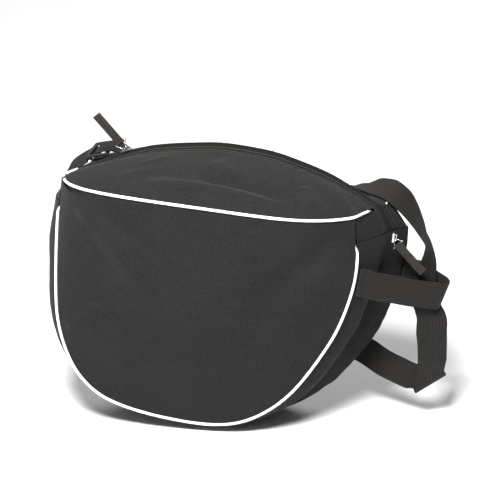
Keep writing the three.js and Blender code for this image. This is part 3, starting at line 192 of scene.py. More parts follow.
def fine_copy(node: str, name: str, levels: int, crease_angle: float = 50.0) -> bpy.types.Object:
    """A smooth, finely divided copy of a solid, with its sharp borders kept.

    Args:
        node: name of the solid in the frame.
        name: name of the new piece.
        levels: how many times each face is divided.
        crease_angle: borders sharper than this, in degrees, stay sharp.

    Returns:
        The new piece, at the origin.
    """
    bm = bmesh.new()
    bm.from_mesh(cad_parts[node].data)
    bmesh.ops.remove_doubles(bm, verts=bm.verts, dist=WELD)
    bmesh.ops.join_triangles(
        bm, faces=bm.faces, angle_face_threshold=0.6, angle_shape_threshold=1.2, cmp_seam=False
    )
    crease = bm.edges.layers.float.get("crease_edge") or bm.edges.layers.float.new("crease_edge")
    for edge in bm.edges:
        sharp = len(edge.link_faces) == 2 and edge.calc_face_angle(0) > math.radians(crease_angle)
        edge[crease] = 1.0 if sharp else 0.0
    coarse = bpy.data.meshes.new(name + "_coarse")
    bm.to_mesh(coarse)
    bm.free()
    helper = put_in_scene(name + "_coarse", coarse)
    divide = helper.modifiers.new("divide", "SUBSURF")
    divide.levels = divide.render_levels = levels
    bpy.context.view_layer.update()
    divided = helper.evaluated_get(bpy.context.evaluated_depsgraph_get())
    mesh = bpy.data.meshes.new_from_object(divided)
    mesh.name = name
    bpy.data.objects.remove(helper)
    mesh.shade_smooth()
    mesh.materials.clear()
    return put_in_scene(name, mesh)


def piece_from_grid(name: str, grid: Array, along: Array, across: Array) -> bpy.types.Object:
    """A closed tube-like piece from a grid of points: rows along it, columns round it.

    Args:
        name: name of the piece.
        grid: positions, rows by columns by 3.
        along: for each row, how far along the piece it lies.
        across: for each column, the share of the width at which it lies.

    Returns:
        The new piece, with along and across stored at every point.
    """
    rows, columns = grid.shape[:2]
    index = np.arange(rows * columns).reshape(rows, columns)
    turned = np.roll(index, -1, axis=1)
    quads = np.stack([index[:-1], turned[:-1], turned[1:], index[1:]], axis=-1).reshape(-1, 4)
    caps = [index[0][::-1].tolist(), index[-1].tolist()]
    mesh = bpy.data.meshes.new(name)
    mesh.from_pydata(grid.reshape(-1, 3).tolist(), [], quads.tolist() + caps)
    mesh.update()
    mesh.shade_smooth()
    add_attribute(mesh, "along", np.repeat(along, columns))
    add_attribute(mesh, "across", np.tile(across, rows))
    return put_in_scene(name, mesh)


def hand_over(piece: bpy.types.Object, node: str, material: bpy.types.Material) -> None:
    """Gives a piece its material and lets it stand for its solid."""
    piece.data.materials.clear()
    piece.data.materials.append(material)
    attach(piece, "root")
    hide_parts(node)
    log.info("%s: %d faces", piece.name, len(piece.data.polygons))


# Finishes


class Nodes:
    """Small helper that adds and joins the nodes of one material."""

    def __init__(self, name: str) -> None:
        """Starts an empty material with a principled shader."""
        self.material = bpy.data.materials.new(name)
        self.material.use_nodes = True
        self.tree = self.material.node_tree
        self.shader = self.tree.nodes["Principled BSDF"]
        self.coords = self.tree.nodes.new("ShaderNodeTexCoord").outputs["Object"]

    def add(self, kind: str, **settings: object) -> bpy.types.Node:
        """Adds a node, and sets its properties or its inputs by name."""
        node = self.tree.nodes.new(kind)
        for key, value in settings.items():
            if hasattr(node, key):
                setattr(node, key, value)
            else:
                node.inputs[key.replace("_", " ")].default_value = value
        return node

    def link(self, start: Socket, end: Socket) -> None:
        """Joins two sockets."""
        self.tree.links.new(start, end)

    def drive(self, name: str, value: Socket) -> None:
        """Lets a socket drive an input of the shader."""
        self.link(value, self.shader.inputs[name])

    def set_shader(self, **values: float) -> None:
        """Sets inputs of the shader, with underscores for the spaces in their names."""
        for name, value in values.items():
            self.shader.inputs[name.replace("_", " ")].default_value = value

    def xyz(self) -> tuple[Socket, ...]:
        """The three object coordinates."""
        split = self.add("ShaderNodeSeparateXYZ")
        self.link(self.coords, split.inputs[0])
        return tuple(split.outputs)

    def math(self, operation: str, first: object, second: object = 0.0) -> Socket:
        """A math step on sockets or numbers, and its result."""
        node = self.add("ShaderNodeMath", operation=operation)
        for socket, value in zip(node.inputs, (first, second)):
            if isinstance(value, (int, float)):
                socket.default_value = value
            else:
                self.link(value, socket)
        return node.outputs[0]

    def ripple(self, value: Socket, length: float, shift: object = 0.0) -> Socket:
        """A sine over a value, with its wave length and a shift in radians."""
        turns = self.math("MULTIPLY", value, FULL_TURN / length)
        return self.math("SINE", self.math("ADD", turns, shift))

    def blend(self, *parts: tuple[Socket, float], base: float = 0.0) -> Socket:
        """The sum of weighted sockets and of a number."""
        total = base
        for value, weight in parts:
            total = self.math("ADD", self.math("MULTIPLY", value, weight), total)
        return total

    def attribute(self, name: str) -> Socket:
        """The number that a piece stores under a name."""
        return self.add("ShaderNodeAttribute", attribute_name=name).outputs["Fac"]

    def noise(self, scale: float, detail: float = 3.0) -> Socket:
        """Noise in object coordinates; scale is in turns a metre."""
        node = self.add("ShaderNodeTexNoise", Scale=scale, Detail=detail)
        self.link(self.coords, node.inputs["Vector"])
        return node.outputs["Fac"]

    def ramp(self, value: Socket, start: float, dark: Colour, end: float, light: Colour) -> Socket:
        """A ramp from a dark colour at one value to a light one at another."""
        node = self.add("ShaderNodeValToRGB")
        for element, place, colour in zip(node.color_ramp.elements, (start, end), (dark, light)):
            element.position = place
            element.color = (*colour, 1.0)
        self.link(value, node.inputs["Fac"])
        return node.outputs["Color"]

    def bump(self, height: Socket, distance: float, before: Socket | None = None) -> Socket:
        """Relief of a given depth in metres, laid over an earlier one."""
        node = self.add("ShaderNodeBump", Distance=distance, Strength=1.0)
        self.link(height, node.inputs["Height"])
        if before is not None:
            self.link(before, node.inputs["Normal"])
        return node.outputs["Normal"]


@dataclass(frozen=True)
class WovenCloth:
    """Plain woven cloth: two crossed sets of threads, with lint and slight unevenness of colour."""

    name: str
    dark: Colour
    light: Colour
    pitch: float = 0.9 * MM
    relief: float = 0.12 * MM
    roughness: float = 0.82
    sheen: float = 0.04

    def build(self) -> bpy.types.Material:
        """Makes the material.

        Returns:
            The finished material.
        """
        n = Nodes(self.name)
        x, y, z = n.xyz()
        sway = n.math("MULTIPLY", n.noise(60.0, 2.0), 4.0)
        warp = n.ripple(x, self.pitch, sway)
        weft = n.ripple(n.blend((z, 1.0), (y, 0.7)), self.pitch, sway)
        weave = n.blend((n.math("MULTIPLY", warp, weft), 0.5), base=0.5)
        lint, cloud, fleck = n.noise(2600.0, 2.0), n.noise(9.0, 4.0), n.noise(430.0, 4.0)
        tone = n.blend((weave, 0.12), (fleck, 0.42), (lint, 0.42), (cloud, 0.16))
        n.drive("Base Color", n.ramp(tone, 0.4, self.dark, 0.66, self.light))
        n.drive("Roughness", n.blend((cloud, 0.14), base=self.roughness - 0.07))
        crumple = n.bump(n.noise(38.0, 5.0), 1.4 * MM)
        n.drive("Normal", n.bump(n.blend((weave, 1.0), (lint, 0.8)), self.relief, crumple))
        n.set_shader(Sheen_Weight=self.sheen, Sheen_Roughness=0.5, Specular_IOR_Level=0.14)
        return n.material


@dataclass(frozen=True)
class ZipTape:
    """Zip tape: fine cross ribs, two rows of stitches and a ribbed coil along the free edge."""

    name: str
    dark: Colour
    light: Colour
    thread: Colour
    rows: tuple[float, float] = (2.4 * MM, 7.6 * MM)
    row_width: float = 0.84 * MM
    stitch: float = 2.9 * MM
    stitch_share: float = 0.7
    rib: float = 0.75 * MM
    tooth: float = 1.6 * MM
    coil_from: float = 12.6 * MM

    def build(self) -> bpy.types.Material:
        """Makes the material, which reads the attribute seam, the distance from the sewn edge.

        Returns:
            The finished material.
        """
        n = Nodes(self.name)
        x, _, z = n.xyz()
        along = n.blend((x, 1.0), (z, -0.25))
        ribs, teeth = n.ripple(along, self.rib), n.ripple(along, self.tooth)
        seam = n.attribute("seam")
        first, second = (
            n.math("LESS_THAN", n.math("ABSOLUTE", n.math("SUBTRACT", seam, place)), self.row_width / 2)
            for place in self.rows
        )
        step = n.math("FRACT", n.math("MULTIPLY", along, 1 / self.stitch))
        sewn = n.math("LESS_THAN", step, self.stitch_share)
        stitches = n.math("MULTIPLY", n.math("MAXIMUM", first, second), sewn)
        coil = n.math("MULTIPLY", n.math("GREATER_THAN", seam, self.coil_from), teeth)
        n.drive("Normal", n.bump(n.blend((ribs, 0.12), (stitches, 1.1), (coil, 1.2)), 0.28 * MM))
        tone = n.blend((n.noise(900.0), 0.6), (ribs, 0.2))
        mix = n.add("ShaderNodeMix", data_type="RGBA")
        plain, sewing = (socket for socket in mix.inputs if socket.type == "RGBA")
        sewing.default_value = (*self.thread, 1.0)
        n.link(stitches, mix.inputs["Factor"])
        n.link(n.ramp(tone, 0.1, self.dark, 0.6, self.light), plain)
        n.drive("Base Color", next(socket for socket in mix.outputs if socket.type == "RGBA"))
        n.set_shader(Roughness=0.8, Sheen_Weight=0.02, Specular_IOR_Level=0.16)
        return n.material


@dataclass(frozen=True)
class Webbing:
    """Ribbed webbing: cross yarns inside the modelled ribs, with painted shade as darker stripes
    between the ribs.
    """

    name: str
    dark: Colour
    light: Colour
    ribs: float = 10.0
    yarn: float = 1.1 * MM

    def build(self) -> bpy.types.Material:
        """Makes the material, which reads the attributes along, in metres, and across, from 0 to 1.

        Returns:
            The finished material.
        """
        n = Nodes(self.name)
        along, across = n.attribute("along"), n.attribute("across")
        rib = n.ripple(across, 1 / self.ribs)
        yarn = n.ripple(along, self.yarn, n.math("MULTIPLY", rib, 1.6))
        fuzz = n.noise(1800.0, 2.0)
        # The rib term paints shade: darker stripes across the width, between the ribs.
        tone = n.blend((rib, 0.24), (yarn, 0.1), (fuzz, 0.5), base=0.25)
        n.drive("Base Color", n.ramp(tone, 0.2, self.dark, 0.8, self.light))
        n.drive("Normal", n.bump(n.blend((yarn, 0.4), (fuzz, 0.5)), 0.14 * MM))
        n.set_shader(Roughness=0.72, Sheen_Weight=0.03, Specular_IOR_Level=0.2)
        return n.material


@dataclass(frozen=True)
class CordCover:
    """Light piping cover: a smooth narrow twill with faint soiling."""

    name: str
    dark: Colour
    light: Colour
    twill: float = 1.0 * MM

    def build(self) -> bpy.types.Material:
        """Makes the material.

        Returns:
            The finished material.
        """
        n = Nodes(self.name)
        twill = n.ripple(n.blend(*((place, 1.0) for place in n.xyz())), self.twill)
        tone = n.blend((n.noise(45.0, 4.0), 0.9), (twill, 0.06))
        n.drive("Base Color", n.ramp(tone, 0.25, self.dark, 0.6, self.light))
        n.drive("Normal", n.bump(twill, 0.06 * MM))
        n.set_shader(Roughness=0.5)
        return n.material


@dataclass(frozen=True)
class Moulded:
    """Moulded or plated hard part with fine grain and rubbed places."""

    name: str
    dark: Colour
    light: Colour
    roughness: float
    metallic: float
    grain: float = 900.0

    def build(self) -> bpy.types.Material:
        """Makes the material.

        Returns:
            The finished material.
        """
        n = Nodes(self.name)
        wear = n.noise(120.0, 4.0)
        n.drive("Base Color", n.ramp(wear, 0.3, self.dark, 0.7, self.light))
        n.drive("Roughness", n.blend((wear, 0.2), base=self.roughness - 0.1))
        n.drive("Normal", n.bump(n.noise(self.grain, 2.0), 0.04 * MM))
        n.set_shader(Metallic=self.metallic)
        return n.material


def grey(value: float, warm: float = 0.0) -> Colour:
    """A linear grey from a screen value of 0 to 255, a little warmer or cooler."""
    linear = (value / 255) ** 2.2
    return (linear * (1 + warm), linear, linear * (1 - warm))


class Finishes:
    """All materials of the bag, made once."""

    def __init__(self) -> None:
        """Builds every finish."""
        self.cloth = WovenCloth("charcoal_cloth", grey(4, 0.03), grey(33, 0.02)).build()
        # Painted shade: the sides take a darker copy of the charcoal cloth, because they lie away from
        # the key light.
        self.side = WovenCloth("side_cloth_painted_shade", grey(4, 0.0), grey(22, 0.0)).build()
        self.tape = ZipTape("zip_tape", grey(7, 0.12), grey(26, 0.14), grey(60, 0.1)).build()
        self.webbing = Webbing("ribbed_webbing", grey(3, 0.12), grey(29, 0.2)).build()
        self.ribbon = WovenCloth(
            "pull_ribbon", grey(12, 0.1), grey(44, 0.12), pitch=0.7 * MM, relief=0.14 * MM
        ).build()
        self.piping = CordCover("piping_cover", grey(205), grey(246)).build()
        self.plastic = Moulded(
            "black_plastic", grey(18), grey(30), roughness=0.42, metallic=0.0
        ).build()
        self.metal = Moulded(
            "zip_metal", grey(170, 0.02), grey(235, 0.02), roughness=0.25, metallic=1.0
        ).build()


# Pieces


@dataclass(frozen=True)
class Fold:
    """A crease (negative height) or a ridge along a line of points, which are in millimetres.

    The step raises one side of the line and lowers the other. The fades are shares of the line's
    length, and a stretch of it that rises less than level_below counts as level.
    """

    line: tuple[tuple[float, float, float], ...]
    height: float
    width: float
    step: float = 0.0
    fade_in: float = 0.22
    fade_out: float = 0.3
    level_below: float = 0.4

    def lift(self, co: Array) -> Array:
        """Height that the fold adds at each point.

        Args:
            co: points of the cloth.

        Returns:
            One height for each point; it fades out at both ends of the line.
        """
        line = np.array(self.line) * MM
        lengths = np.linalg.norm(np.diff(line, axis=0), axis=1)
        start = np.concatenate([[0], np.cumsum(lengths)])
        best = np.full(len(co), np.inf)
        share = np.zeros(len(co))
        side = np.zeros(len(co))
        for k, length in enumerate(lengths):
            ahead = (line[k + 1] - line[k]) / length
            t = np.clip((co - line[k]) @ ahead, 0, length)
            away = co - (line[k] + t[:, None] * ahead)
            far = np.linalg.norm(away, axis=1)
            near = far < best
            best = np.where(near, far, best)
            share = np.where(near, (start[k] + t) / start[-1], share)
            across = np.cross(ahead, (0, 0, 1) if abs(ahead[2]) < self.level_below else (0, 1, 0))
            side = np.where(near, away @ (across / np.linalg.norm(across)), side)
        span = best / self.width
        body = np.exp(-span**2)
        ends = smooth_step(share / self.fade_in) * smooth_step((1 - share) / self.fade_out)
        return ends * body * (self.height + self.step * side / self.width)


FRONT_FOLDS = (
    Fold(((-222, -82, 328), (-186, -97, 308), (-159, -100, 271), (-135, -98, 234), (-116, -98, 204)),
         8.5 * MM, 16 * MM),
    Fold(((-225, -81, 330), (-204, -89, 307), (-181, -91, 270), (-155, -93, 230)),
         0.0, 7 * MM, 3.0 * MM),
    Fold(((-174, -101, 329), (-146, -103, 306), (-114, -103, 275), (-88, -102, 249)),
         -3.5 * MM, 13 * MM),
    Fold(((132, -72, 302), (107, -85, 280), (74, -91, 249), (38, -93, 214), (-3, -94, 177)),
         -7.0 * MM, 24 * MM),
    Fold(((-244, -60, 139), (-208, -75, 164), (-172, -84, 195)),
         4.0 * MM, 13 * MM),
    Fold(((-83, -68, 50), (-21, -74, 79), (39, -77, 119), (92, -76, 171)),
         2.0 * MM, 22 * MM),
)
TOP_FOLDS = (
    Fold(((-144, -87, 358), (-90, -81, 358), (-46, -80, 355),
          (-6, -82, 349), (29, -86, 343), (81, -90, 329)),
         6.5 * MM, 8 * MM),
    Fold(((-60, -68, 364), (-21, -66, 361), (18, -70, 354), (65, -81, 340)),
         -6.0 * MM, 10 * MM),
    Fold(((81, -45, 353), (86, -65, 342), (92, -83, 330)),
         4.0 * MM, 8 * MM, 2.0 * MM),
    Fold(((-43, -34, 378), (-23, -49, 370), (4, -62, 360)),
         3.5 * MM, 12 * MM),
    Fold(((-139, -53, 373), (-116, -40, 377), (-92, -23, 381)),
         2.2 * MM, 5 * MM),
    Fold(((-168, -83, 361), (-138, -67, 368), (-108, -55, 372)),
         2.4 * MM, 6 * MM),
)


@dataclass
class ClothPanel:
    """One sewn cloth piece with puckers by its seams and soft wrinkles between them.

    Heights, lengths and reaches are in metres. The parts weigh the broad and the fine wrinkles.
    """

    node: str
    facing: Facing
    levels: int = 3
    wrinkle: float = 1.5 * MM
    wrinkle_length: float = 0.085
    pucker: float = 0.45 * MM
    pucker_length: float = 0.013
    pucker_reach: float = 0.016
    pucker_radius: float = 0.19
    pucker_drift: float = 4 * MM
    drift_length: float = 0.06
    seam_free: float = 0.004
    fold_free: float = 1 * MM
    fold_start: float = 0.014
    wrinkle_reach: float = 0.05
    fine_share: float = 0.38
    broad_part: float = 0.75
    fine_part: float = 0.3
    seed: int = 3
    folds: tuple[Fold, ...] = ()

    def seams(self) -> Array:
        """Points on the edges of all pipings and tapes; the nearest ones are the piece's own seams."""
        others = [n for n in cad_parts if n.startswith(("piping", "tape"))]
        return np.unique(np.concatenate([edge_points(n, 4 * MM) for n in others]).round(4), axis=0)

    def outward(self, co: Array) -> Array:
        """Direction of the swell at each point: fixed, or away from the bag's long axis."""
        if self.facing.value is not None:
            return np.tile(np.array(self.facing.value), (len(co), 1))
        centre, squash = np.array([-0.085, 0.0, 0.2]), np.array([1.0, 0.15, 1.0])
        away = (co - centre) * squash
        return away / np.linalg.norm(away, axis=1)[:, None]

    def relief(self, co: Array, far: Array) -> Array:
        """Height over the plain cloth: wrinkles that fade to the seams, plus puckers beside them."""
        inner = smooth_step((far - self.seam_free) / self.wrinkle_reach)
        broad = waves(co, self.wrinkle_length, self.seed)
        flat = co * np.array([1.0, 1.0, 1.3])
        fine = waves(flat, self.wrinkle_length * self.fine_share, self.seed + 11)
        wrinkle = self.wrinkle * inner * (self.broad_part * broad + self.fine_part * fine)
        middle = co.mean(0)
        turn = np.arctan2(co[:, 2] - middle[2], co[:, 0] - middle[0])
        drift = self.pucker_drift * waves(co, self.drift_length, self.seed + 5)
        run = turn * self.pucker_radius + drift
        near = smooth_step(1 - (far - self.seam_free) / self.pucker_reach)
        near *= smooth_step(far / self.seam_free)
        drawn = sum((fold.lift(co) for fold in self.folds), np.zeros(len(co)))
        wrinkle += drawn * smooth_step((far - self.fold_free) / self.fold_start)
        return wrinkle + self.pucker * near * np.sin(run * FULL_TURN / self.pucker_length)

    def build(self, material: bpy.types.Material) -> None:
        """Makes the piece and hands it over."""
        piece = fine_copy(self.node, self.node + "_cloth", self.levels)
        co = mesh_arrays(piece.data)
        far = distance_to(co, self.seams())
        drawn = co + self.outward(co) * self.relief(co, far)[:, None]
        drawn[:, 2] = np.maximum(drawn[:, 2], 0.0)
        write_positions(piece.data, drawn)
        hand_over(piece, self.node, material)


@dataclass
class Tape:
    """Half of the zip: woven tape with a coil edge."""

    side: str

    def build(self, material: bpy.types.Material) -> None:
        """Makes the tape and stores how far each point lies from the sewn edge."""
        node = f"tape_{self.side}"
        piece = fine_copy(node, node + "_woven", levels=2, crease_angle=35)
        co = mesh_arrays(piece.data)
        sewn = np.unique(np.concatenate([edge_points(n) for n in self.sewn_to()]).round(4), axis=0)
        add_attribute(piece.data, "seam", distance_to(co, sewn))
        hand_over(piece, node, material)

    def sewn_to(self) -> list[str]:
        """Solids of the cloth along the tape's sewn edge."""
        return [f"top_{self.side}", f"cap_left_{self.side}", f"cap_right_{self.side}"]


@dataclass
class Piping:
    """Round piping cord in a seam. Over the length tuck, its ends narrow and sink into the bag."""

    node: str
    tuck: float = 14 * MM
    sink: float = 4 * MM
    cap_reach: float = 5 * MM
    end_width: float = 0.3
    margin: float = 1.1

    def build(self, material: bpy.types.Material) -> None:
        """Makes the cord a smooth tube whose ends narrow where they are tucked into the seams."""
        piece = fine_copy(self.node, self.node + "_cord", levels=2, crease_angle=80)
        co = mesh_arrays(piece.data)
        for end in self.ends(co):
            far = np.linalg.norm(co - end, axis=1)
            cap = co[far < self.cap_reach].mean(0)
            ahead = co[(far > self.tuck) & (far < self.tuck + self.cap_reach)].mean(0) - cap
            ahead /= np.linalg.norm(ahead)
            along = (co - cap) @ ahead
            off = co - cap - along[:, None] * ahead
            lost = (1 - self.end_width) * (1 - smooth_step(along / self.tuck))
            near = far < self.tuck * self.margin
            inward = BAG_MIDDLE - cap
            inward /= np.linalg.norm(inward)
            sunk = np.outer(lost * self.sink / (1 - self.end_width), inward)
            co[near] += (sunk - off * lost[:, None])[near]
        write_positions(piece.data, co)
        hand_over(piece, self.node, material)

    def ends(self, co: Array) -> list[Array]:
        """A point at each end: the outermost ones of a top cord, the topmost ones of the others."""
        if "top" in self.node:
            return [co[co[:, 0].argmin()].copy(), co[co[:, 0].argmax()].copy()]
        halves = co[co[:, 0] < 0], co[co[:, 0] >= 0]
        return [half[half[:, 2].argmax()] for half in halves]


@dataclass
class Strap:
    """Webbing carried along the two borders of its solid, with ribs over its width.

    The corners are the outward shifts of the lower and the upper border in tight folds. The dip lowers
    the front border between the left end and the triglide, and brings it forward. The sway moves
    the free strand out below the side loop.
    """

    node: str
    ribs: int = 13
    rib_height: float = 0.3 * MM
    rib_floor: float = 0.6
    edge_power: int = 18
    thickness: float = 1.5 * MM
    step: float = 4.0 * MM
    turn: float = 0.16
    columns: int = 105
    fold_corners: tuple[float, float] = (0.0, 0.0)
    fold_step: float = 4 * MM
    sway: float = 0.0
    sway_height: float = 158 * MM
    sway_reach: float = 22 * MM
    sway_beyond: float = 190 * MM
    dip: float = 0.0
    dip_place: float = -234 * MM
    dip_reach: float = 16 * MM
    dip_above: float = 300 * MM
    dip_forward: float = 0.7
    slope_limit: float = 1.2

    def rings(self) -> list[list[Array]]:
        """Cross sections of the solid from one end to the other.

        Returns:
            For each section its four corner points.
        """
        bm = bmesh.new()
        bm.from_mesh(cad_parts[self.node].data)
        bmesh.ops.remove_doubles(bm, verts=bm.verts, dist=WELD)
        ring = self.end_corners(bm)
        seen = set(ring)
        found = []
        while ring:
            found.append([np.array(v.co) for v in ring])
            ring = list({e.other_vert(v) for v in ring for e in v.link_edges} - seen)
            seen.update(ring)
        bm.free()
        return [points for points in found if len(points) == 4]

    @staticmethod
    def end_corners(bm: bmesh.types.BMesh) -> list[bmesh.types.BMVert]:
        """Corners of an end of the webbing: two level triangles with sharp borders all round."""
        level, sharp = 0.02, math.radians(60)
        for edge in bm.edges:
            if len(edge.link_faces) != 2 or edge.calc_face_angle(1) > level:
                continue
            rim = [e for f in edge.link_faces for e in f.edges if e != edge]
            if len(rim) == 4 and min(e.calc_face_angle(0) for e in rim) > sharp:
                return list({v for e in rim for v in e.verts})
        raise ValueError("the webbing has no square end")

    def borders(self) -> tuple[Array, Array]:
        """The two long borders of the solid, in the same order.

        Returns:
            Points of the one border and of the other.
        """
        left, right = [], []
        for corners in self.rings():
            first = min(range(1, 4), key=lambda k: np.linalg.norm(corners[k] - corners[0]))
            rest = [k for k in range(1, 4) if k != first]
            one = (corners[0] + corners[first]) / 2
            two = (corners[rest[0]] + corners[rest[1]]) / 2
            if left:
                straight = np.linalg.norm(one - left[-1]) + np.linalg.norm(two - right[-1])
                crossed = np.linalg.norm(two - left[-1]) + np.linalg.norm(one - right[-1])
                one, two = (one, two) if straight <= crossed else (two, one)
            left.append(one)
            right.append(two)
        left, right = self.cornered(np.array(left), np.array(right))
        in_front = left[:, 1] < right[:, 1]
        return self.swayed(self.dipped(left, in_front)), self.swayed(self.dipped(right, ~in_front))

    def cornered(self, left: Array, right: Array) -> tuple[Array, Array]:
        """Moves both borders outwards where the webbing is folded tightly."""
        step = np.linalg.norm(np.diff((left + right) / 2, axis=0), axis=1)
        tight = np.append(step < self.fold_step, False) | np.insert(step < self.fold_step, 0, False)
        along = (left - right) / np.linalg.norm(left - right, axis=1)[:, None]
        low, high = self.fold_corners
        left_low = left[:, 2] < right[:, 2]
        left_shift = tight * np.where(left_low, low, high)
        right_shift = tight * np.where(left_low, high, low)
        return left + along * left_shift[:, None], right - along * right_shift[:, None]

    def dipped(self, line: Array, in_front: Array) -> Array:
        """Lowers a border where it is the front one, between the left end and the triglide."""
        share = np.exp(-(((line[:, 0] - self.dip_place) / self.dip_reach) ** 2))
        share *= in_front & (line[:, 2] > self.dip_above)
        return line - np.outer(share * self.dip, (0.0, self.dip_forward, 1.0))

    def swayed(self, line: Array) -> Array:
        """Lets the free strand hang a little further out below the side loop."""
        share = np.exp(-(((line[:, 2] - self.sway_height) / self.sway_reach) ** 2))
        share *= line[:, 0] > self.sway_beyond
        return line + np.outer(share * self.sway, (1.0, 0.0, 0.0))

    def places_along(self, middle: Array, run: Array) -> Array:
        """Where the outline is set: evenly, and closer together in tight bends."""
        ahead = np.diff(middle, axis=0)
        ahead /= np.linalg.norm(ahead, axis=1)[:, None]
        bend = np.arccos(np.clip((ahead[1:] * ahead[:-1]).sum(1), -1, 1))
        bend = np.maximum(np.append(bend, 0), np.insert(bend, 0, 0))
        places = []
        for k in range(len(run) - 1):
            count = max(math.ceil((run[k + 1] - run[k]) / self.step), math.ceil(bend[k] / self.turn))
            places.append(np.linspace(run[k], run[k + 1], count, endpoint=False))
        return np.concatenate(places + [run[-1:]])

    def fine_line(self, line: Array, run: Array, places: Array) -> Array:
        """A border at the given places: cubic steps through its points, with limited slopes."""
        slope = np.gradient(line, run, axis=0)
        steps = np.linalg.norm(np.diff(line, axis=0), axis=1) / np.diff(run)
        least = np.minimum(np.append(steps, np.inf), np.insert(steps, 0, np.inf))
        size = np.maximum(np.linalg.norm(slope, axis=1), 1e-9)
        slope *= np.minimum(1, self.slope_limit * least / size)[:, None]
        k = np.clip(np.searchsorted(run, places, side="right") - 1, 0, len(run) - 2)
        width = (run[k + 1] - run[k])[:, None]
        t = (places - run[k])[:, None] / width
        passed = smooth_step(t)
        leaving, reaching = t**3 - 2 * t**2 + t, t**3 - t**2
        bent = leaving * slope[k] + reaching * slope[k + 1]
        return (1 - passed) * line[k] + passed * line[k + 1] + bent * width

    def section(self) -> tuple[Array, Array]:
        """Closed outline of the webbing: ribs on both faces, thin at the edges.

        Returns:
            Share of the width and height of each outline point.
        """
        share = np.linspace(0, 1, self.columns)
        edge = np.sqrt(np.clip(1 - (2 * share - 1) ** self.edge_power, 0, 1))
        rib = self.rib_height * (np.abs(np.sin(share * math.pi * self.ribs)) - self.rib_floor)
        height = edge * (self.thickness / 2 - self.rib_height * (1 - self.rib_floor) + rib)
        return np.concatenate([share, share[::-1]]), np.concatenate([height, -height[::-1]])

    def build(self, material: bpy.types.Material) -> None:
        """Carries the outline along the borders."""
        left, right = self.borders()
        middle = (left + right) / 2
        run = np.concatenate([[0], np.cumsum(np.linalg.norm(np.diff(middle, axis=0), axis=1))])
        places = self.places_along(middle, run)
        a, b = self.fine_line(left, run, places), self.fine_line(right, run, places)
        ahead = np.gradient((a + b) / 2, axis=0)
        up = np.cross(ahead, b - a)
        up /= np.maximum(np.linalg.norm(up, axis=1), 1e-9)[:, None]
        share, height = self.section()
        flat = a[:, None] + (b - a)[:, None] * share[None, :, None]
        grid = flat + up[:, None] * height[None, :, None]
        piece = piece_from_grid(self.node + "_webbing", grid, places, share)
        hand_over(piece, self.node, material)


@dataclass
class HardPiece:
    """Small hard or folded part with its edges rounded."""

    node: str
    slot: Slot
    radius: float
    levels: int = 0

    def build(self, material: bpy.types.Material) -> None:
        """Rounds the solid's edges in a copy."""
        piece = fine_copy(self.node, self.node + "_made", self.levels, crease_angle=80)
        if self.radius > 0:
            bevel = piece.modifiers.new("edges", "BEVEL")
            bevel.width = self.radius
            bevel.segments = 3
            bevel.limit_method = "ANGLE"
            bevel.angle_limit = math.radians(40)
        hand_over(piece, self.node, material)


class HelmetBag:
    """The whole bag."""

    def __init__(self) -> None:
        """Lists the pieces and makes the finishes."""
        self.finish = Finishes()
        self.panels = [
            ClothPanel("front_panel", Facing.FRONT, seed=3, wrinkle=0.9 * MM, folds=FRONT_FOLDS),
            ClothPanel("back_panel", Facing.BACK, seed=4),
            ClothPanel(
                "top_front",
                Facing.TOP_FRONT,
                seed=5,
                wrinkle=1.2 * MM,
                fold_start=5 * MM,
                folds=TOP_FOLDS,
            ),
            ClothPanel("top_rear", Facing.TOP_REAR, seed=6, wrinkle=1.8 * MM),
        ]
        caps = [f"cap_{end}_{side}" for end in ("left", "right") for side in ("front", "rear")]
        self.sides = [ClothPanel("gusset", Facing.AROUND, seed=8, wrinkle=1.8 * MM)]
        self.sides += [ClothPanel(n, Facing.AROUND, levels=4, wrinkle=0.6 * MM, seed=9) for n in caps]

    def build(self) -> None:
        """Builds every piece in order."""
        for panel in self.panels:
            panel.build(self.finish.cloth)
        # The gusset and the end caps wear the darker copy of the cloth, which paints shade on the
        # sides.
        for panel in self.sides:
            panel.build(self.finish.side)
        for side in ("front", "rear"):
            Tape(side).build(self.finish.tape)
        for node in ("piping_front", "piping_back", "piping_top_front", "piping_top_rear"):
            Piping(node).build(self.finish.piping)
        webbing = Strap("shoulder_strap", fold_corners=(8 * MM, 2 * MM), sway=8.5 * MM, dip=9 * MM)
        webbing.build(self.finish.webbing)
        Strap("side_loop").build(self.finish.webbing)
        HardPiece("triglide", Slot.PLASTIC, 0.7 * MM).build(self.finish.plastic)
        for end in ("left", "right"):
            HardPiece(f"slider_{end}", Slot.METAL, 0.25 * MM).build(self.finish.metal)
            HardPiece(f"wire_{end}", Slot.METAL, 0.0, levels=2).build(self.finish.metal)
            HardPiece(f"pull_{end}", Slot.RIBBON, 0.4 * MM).build(self.finish.ribbon)


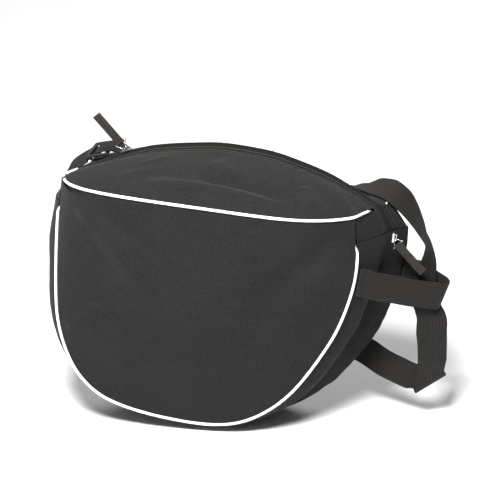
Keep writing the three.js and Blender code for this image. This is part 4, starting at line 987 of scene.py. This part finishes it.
@dataclass
class Studio:
    """Pale floor, soft lights and the camera of the photograph."""

    azimuth: float = 8.0
    elevation: float = 20.0
    distance: float = 2.6667
    lens: float = 144.0
    target: tuple[float, float, float] = (0.0019, 0.0001, 0.2437)

    def toward(self, azimuth: float, elevation: float) -> Vector:
        """Unit vector from the bag to a place round it, angles in degrees."""
        a, e = math.radians(azimuth), math.radians(elevation)
        return Vector((math.sin(a) * math.cos(e), -math.cos(a) * math.cos(e), math.sin(e)))

    def camera(self) -> None:
        """Sets the camera at the photograph's angle."""
        data = bpy.data.cameras.new("camera")
        data.lens = self.lens
        data.sensor_width = 36.0
        camera = put_in_scene("camera", data)
        aim = Vector(self.target)
        camera.location = aim + self.toward(self.azimuth, self.elevation) * self.distance
        camera.rotation_euler = (aim - camera.location).to_track_quat("-Z", "Y").to_euler()
        bpy.context.scene.camera = camera

    def lamp(self, name: str, size: float, watts: float) -> bpy.types.Object:
        """A soft square light that shines straight down until it is turned."""
        data = bpy.data.lights.new(name, "AREA")
        data.size = size
        data.energy = watts
        return put_in_scene(name, data)

    def aim(self, lamp: bpy.types.Object, azimuth: float, elevation: float, far: float) -> None:
        """Sets a light at a distance from the bag and turns it to the bag."""
        toward = self.toward(azimuth, elevation)
        lamp.location = Vector(self.target) + toward * far
        lamp.rotation_euler = (-toward).to_track_quat("-Z", "Y").to_euler()

    def floor(self) -> None:
        """A wide pale floor, a little below the bag."""
        edge, height = 6.0, -0.5 * MM
        mesh = bpy.data.meshes.new("floor")
        corners = [(x * edge, y * edge, height) for x, y in ((-1, -1), (1, -1), (1, 1), (-1, 1))]
        mesh.from_pydata(corners, [], [(0, 1, 2, 3)])
        floor = put_in_scene("floor", mesh)
        n = Nodes("floor")
        n.drive("Base Color", n.ramp(n.noise(3.0), 0.3, (0.76, 0.76, 0.76), 0.7, (0.8, 0.8, 0.8)))
        n.set_shader(Roughness=0.9)
        mesh.materials.append(n.material)

    def build(self) -> None:
        """Builds the studio. The backdrop lamp hangs behind the bag and keeps the background pale."""
        self.camera()
        self.floor()
        self.aim(self.lamp("key", size=0.5, watts=104), azimuth=-3, elevation=50, far=1.7)
        self.aim(self.lamp("fill", size=2.0, watts=5), azimuth=-60, elevation=25, far=3.0)
        self.lamp("backdrop", size=3.0, watts=75).location = (0.0, 2.7, 2.2)
        world = bpy.data.worlds.new("studio")
        world.use_nodes = True
        sky = world.node_tree.nodes["Background"].inputs
        sky["Color"].default_value = (0.95, 0.97, 1.0, 1.0)
        sky["Strength"].default_value = 0.2
        bpy.context.scene.world = world
        bpy.context.scene.view_settings.view_transform = "Standard"


def main() -> None:
    """Dresses the bag and sets the studio."""
    Studio().build()
    HelmetBag().build()


if __name__ == "__main__":
    main()
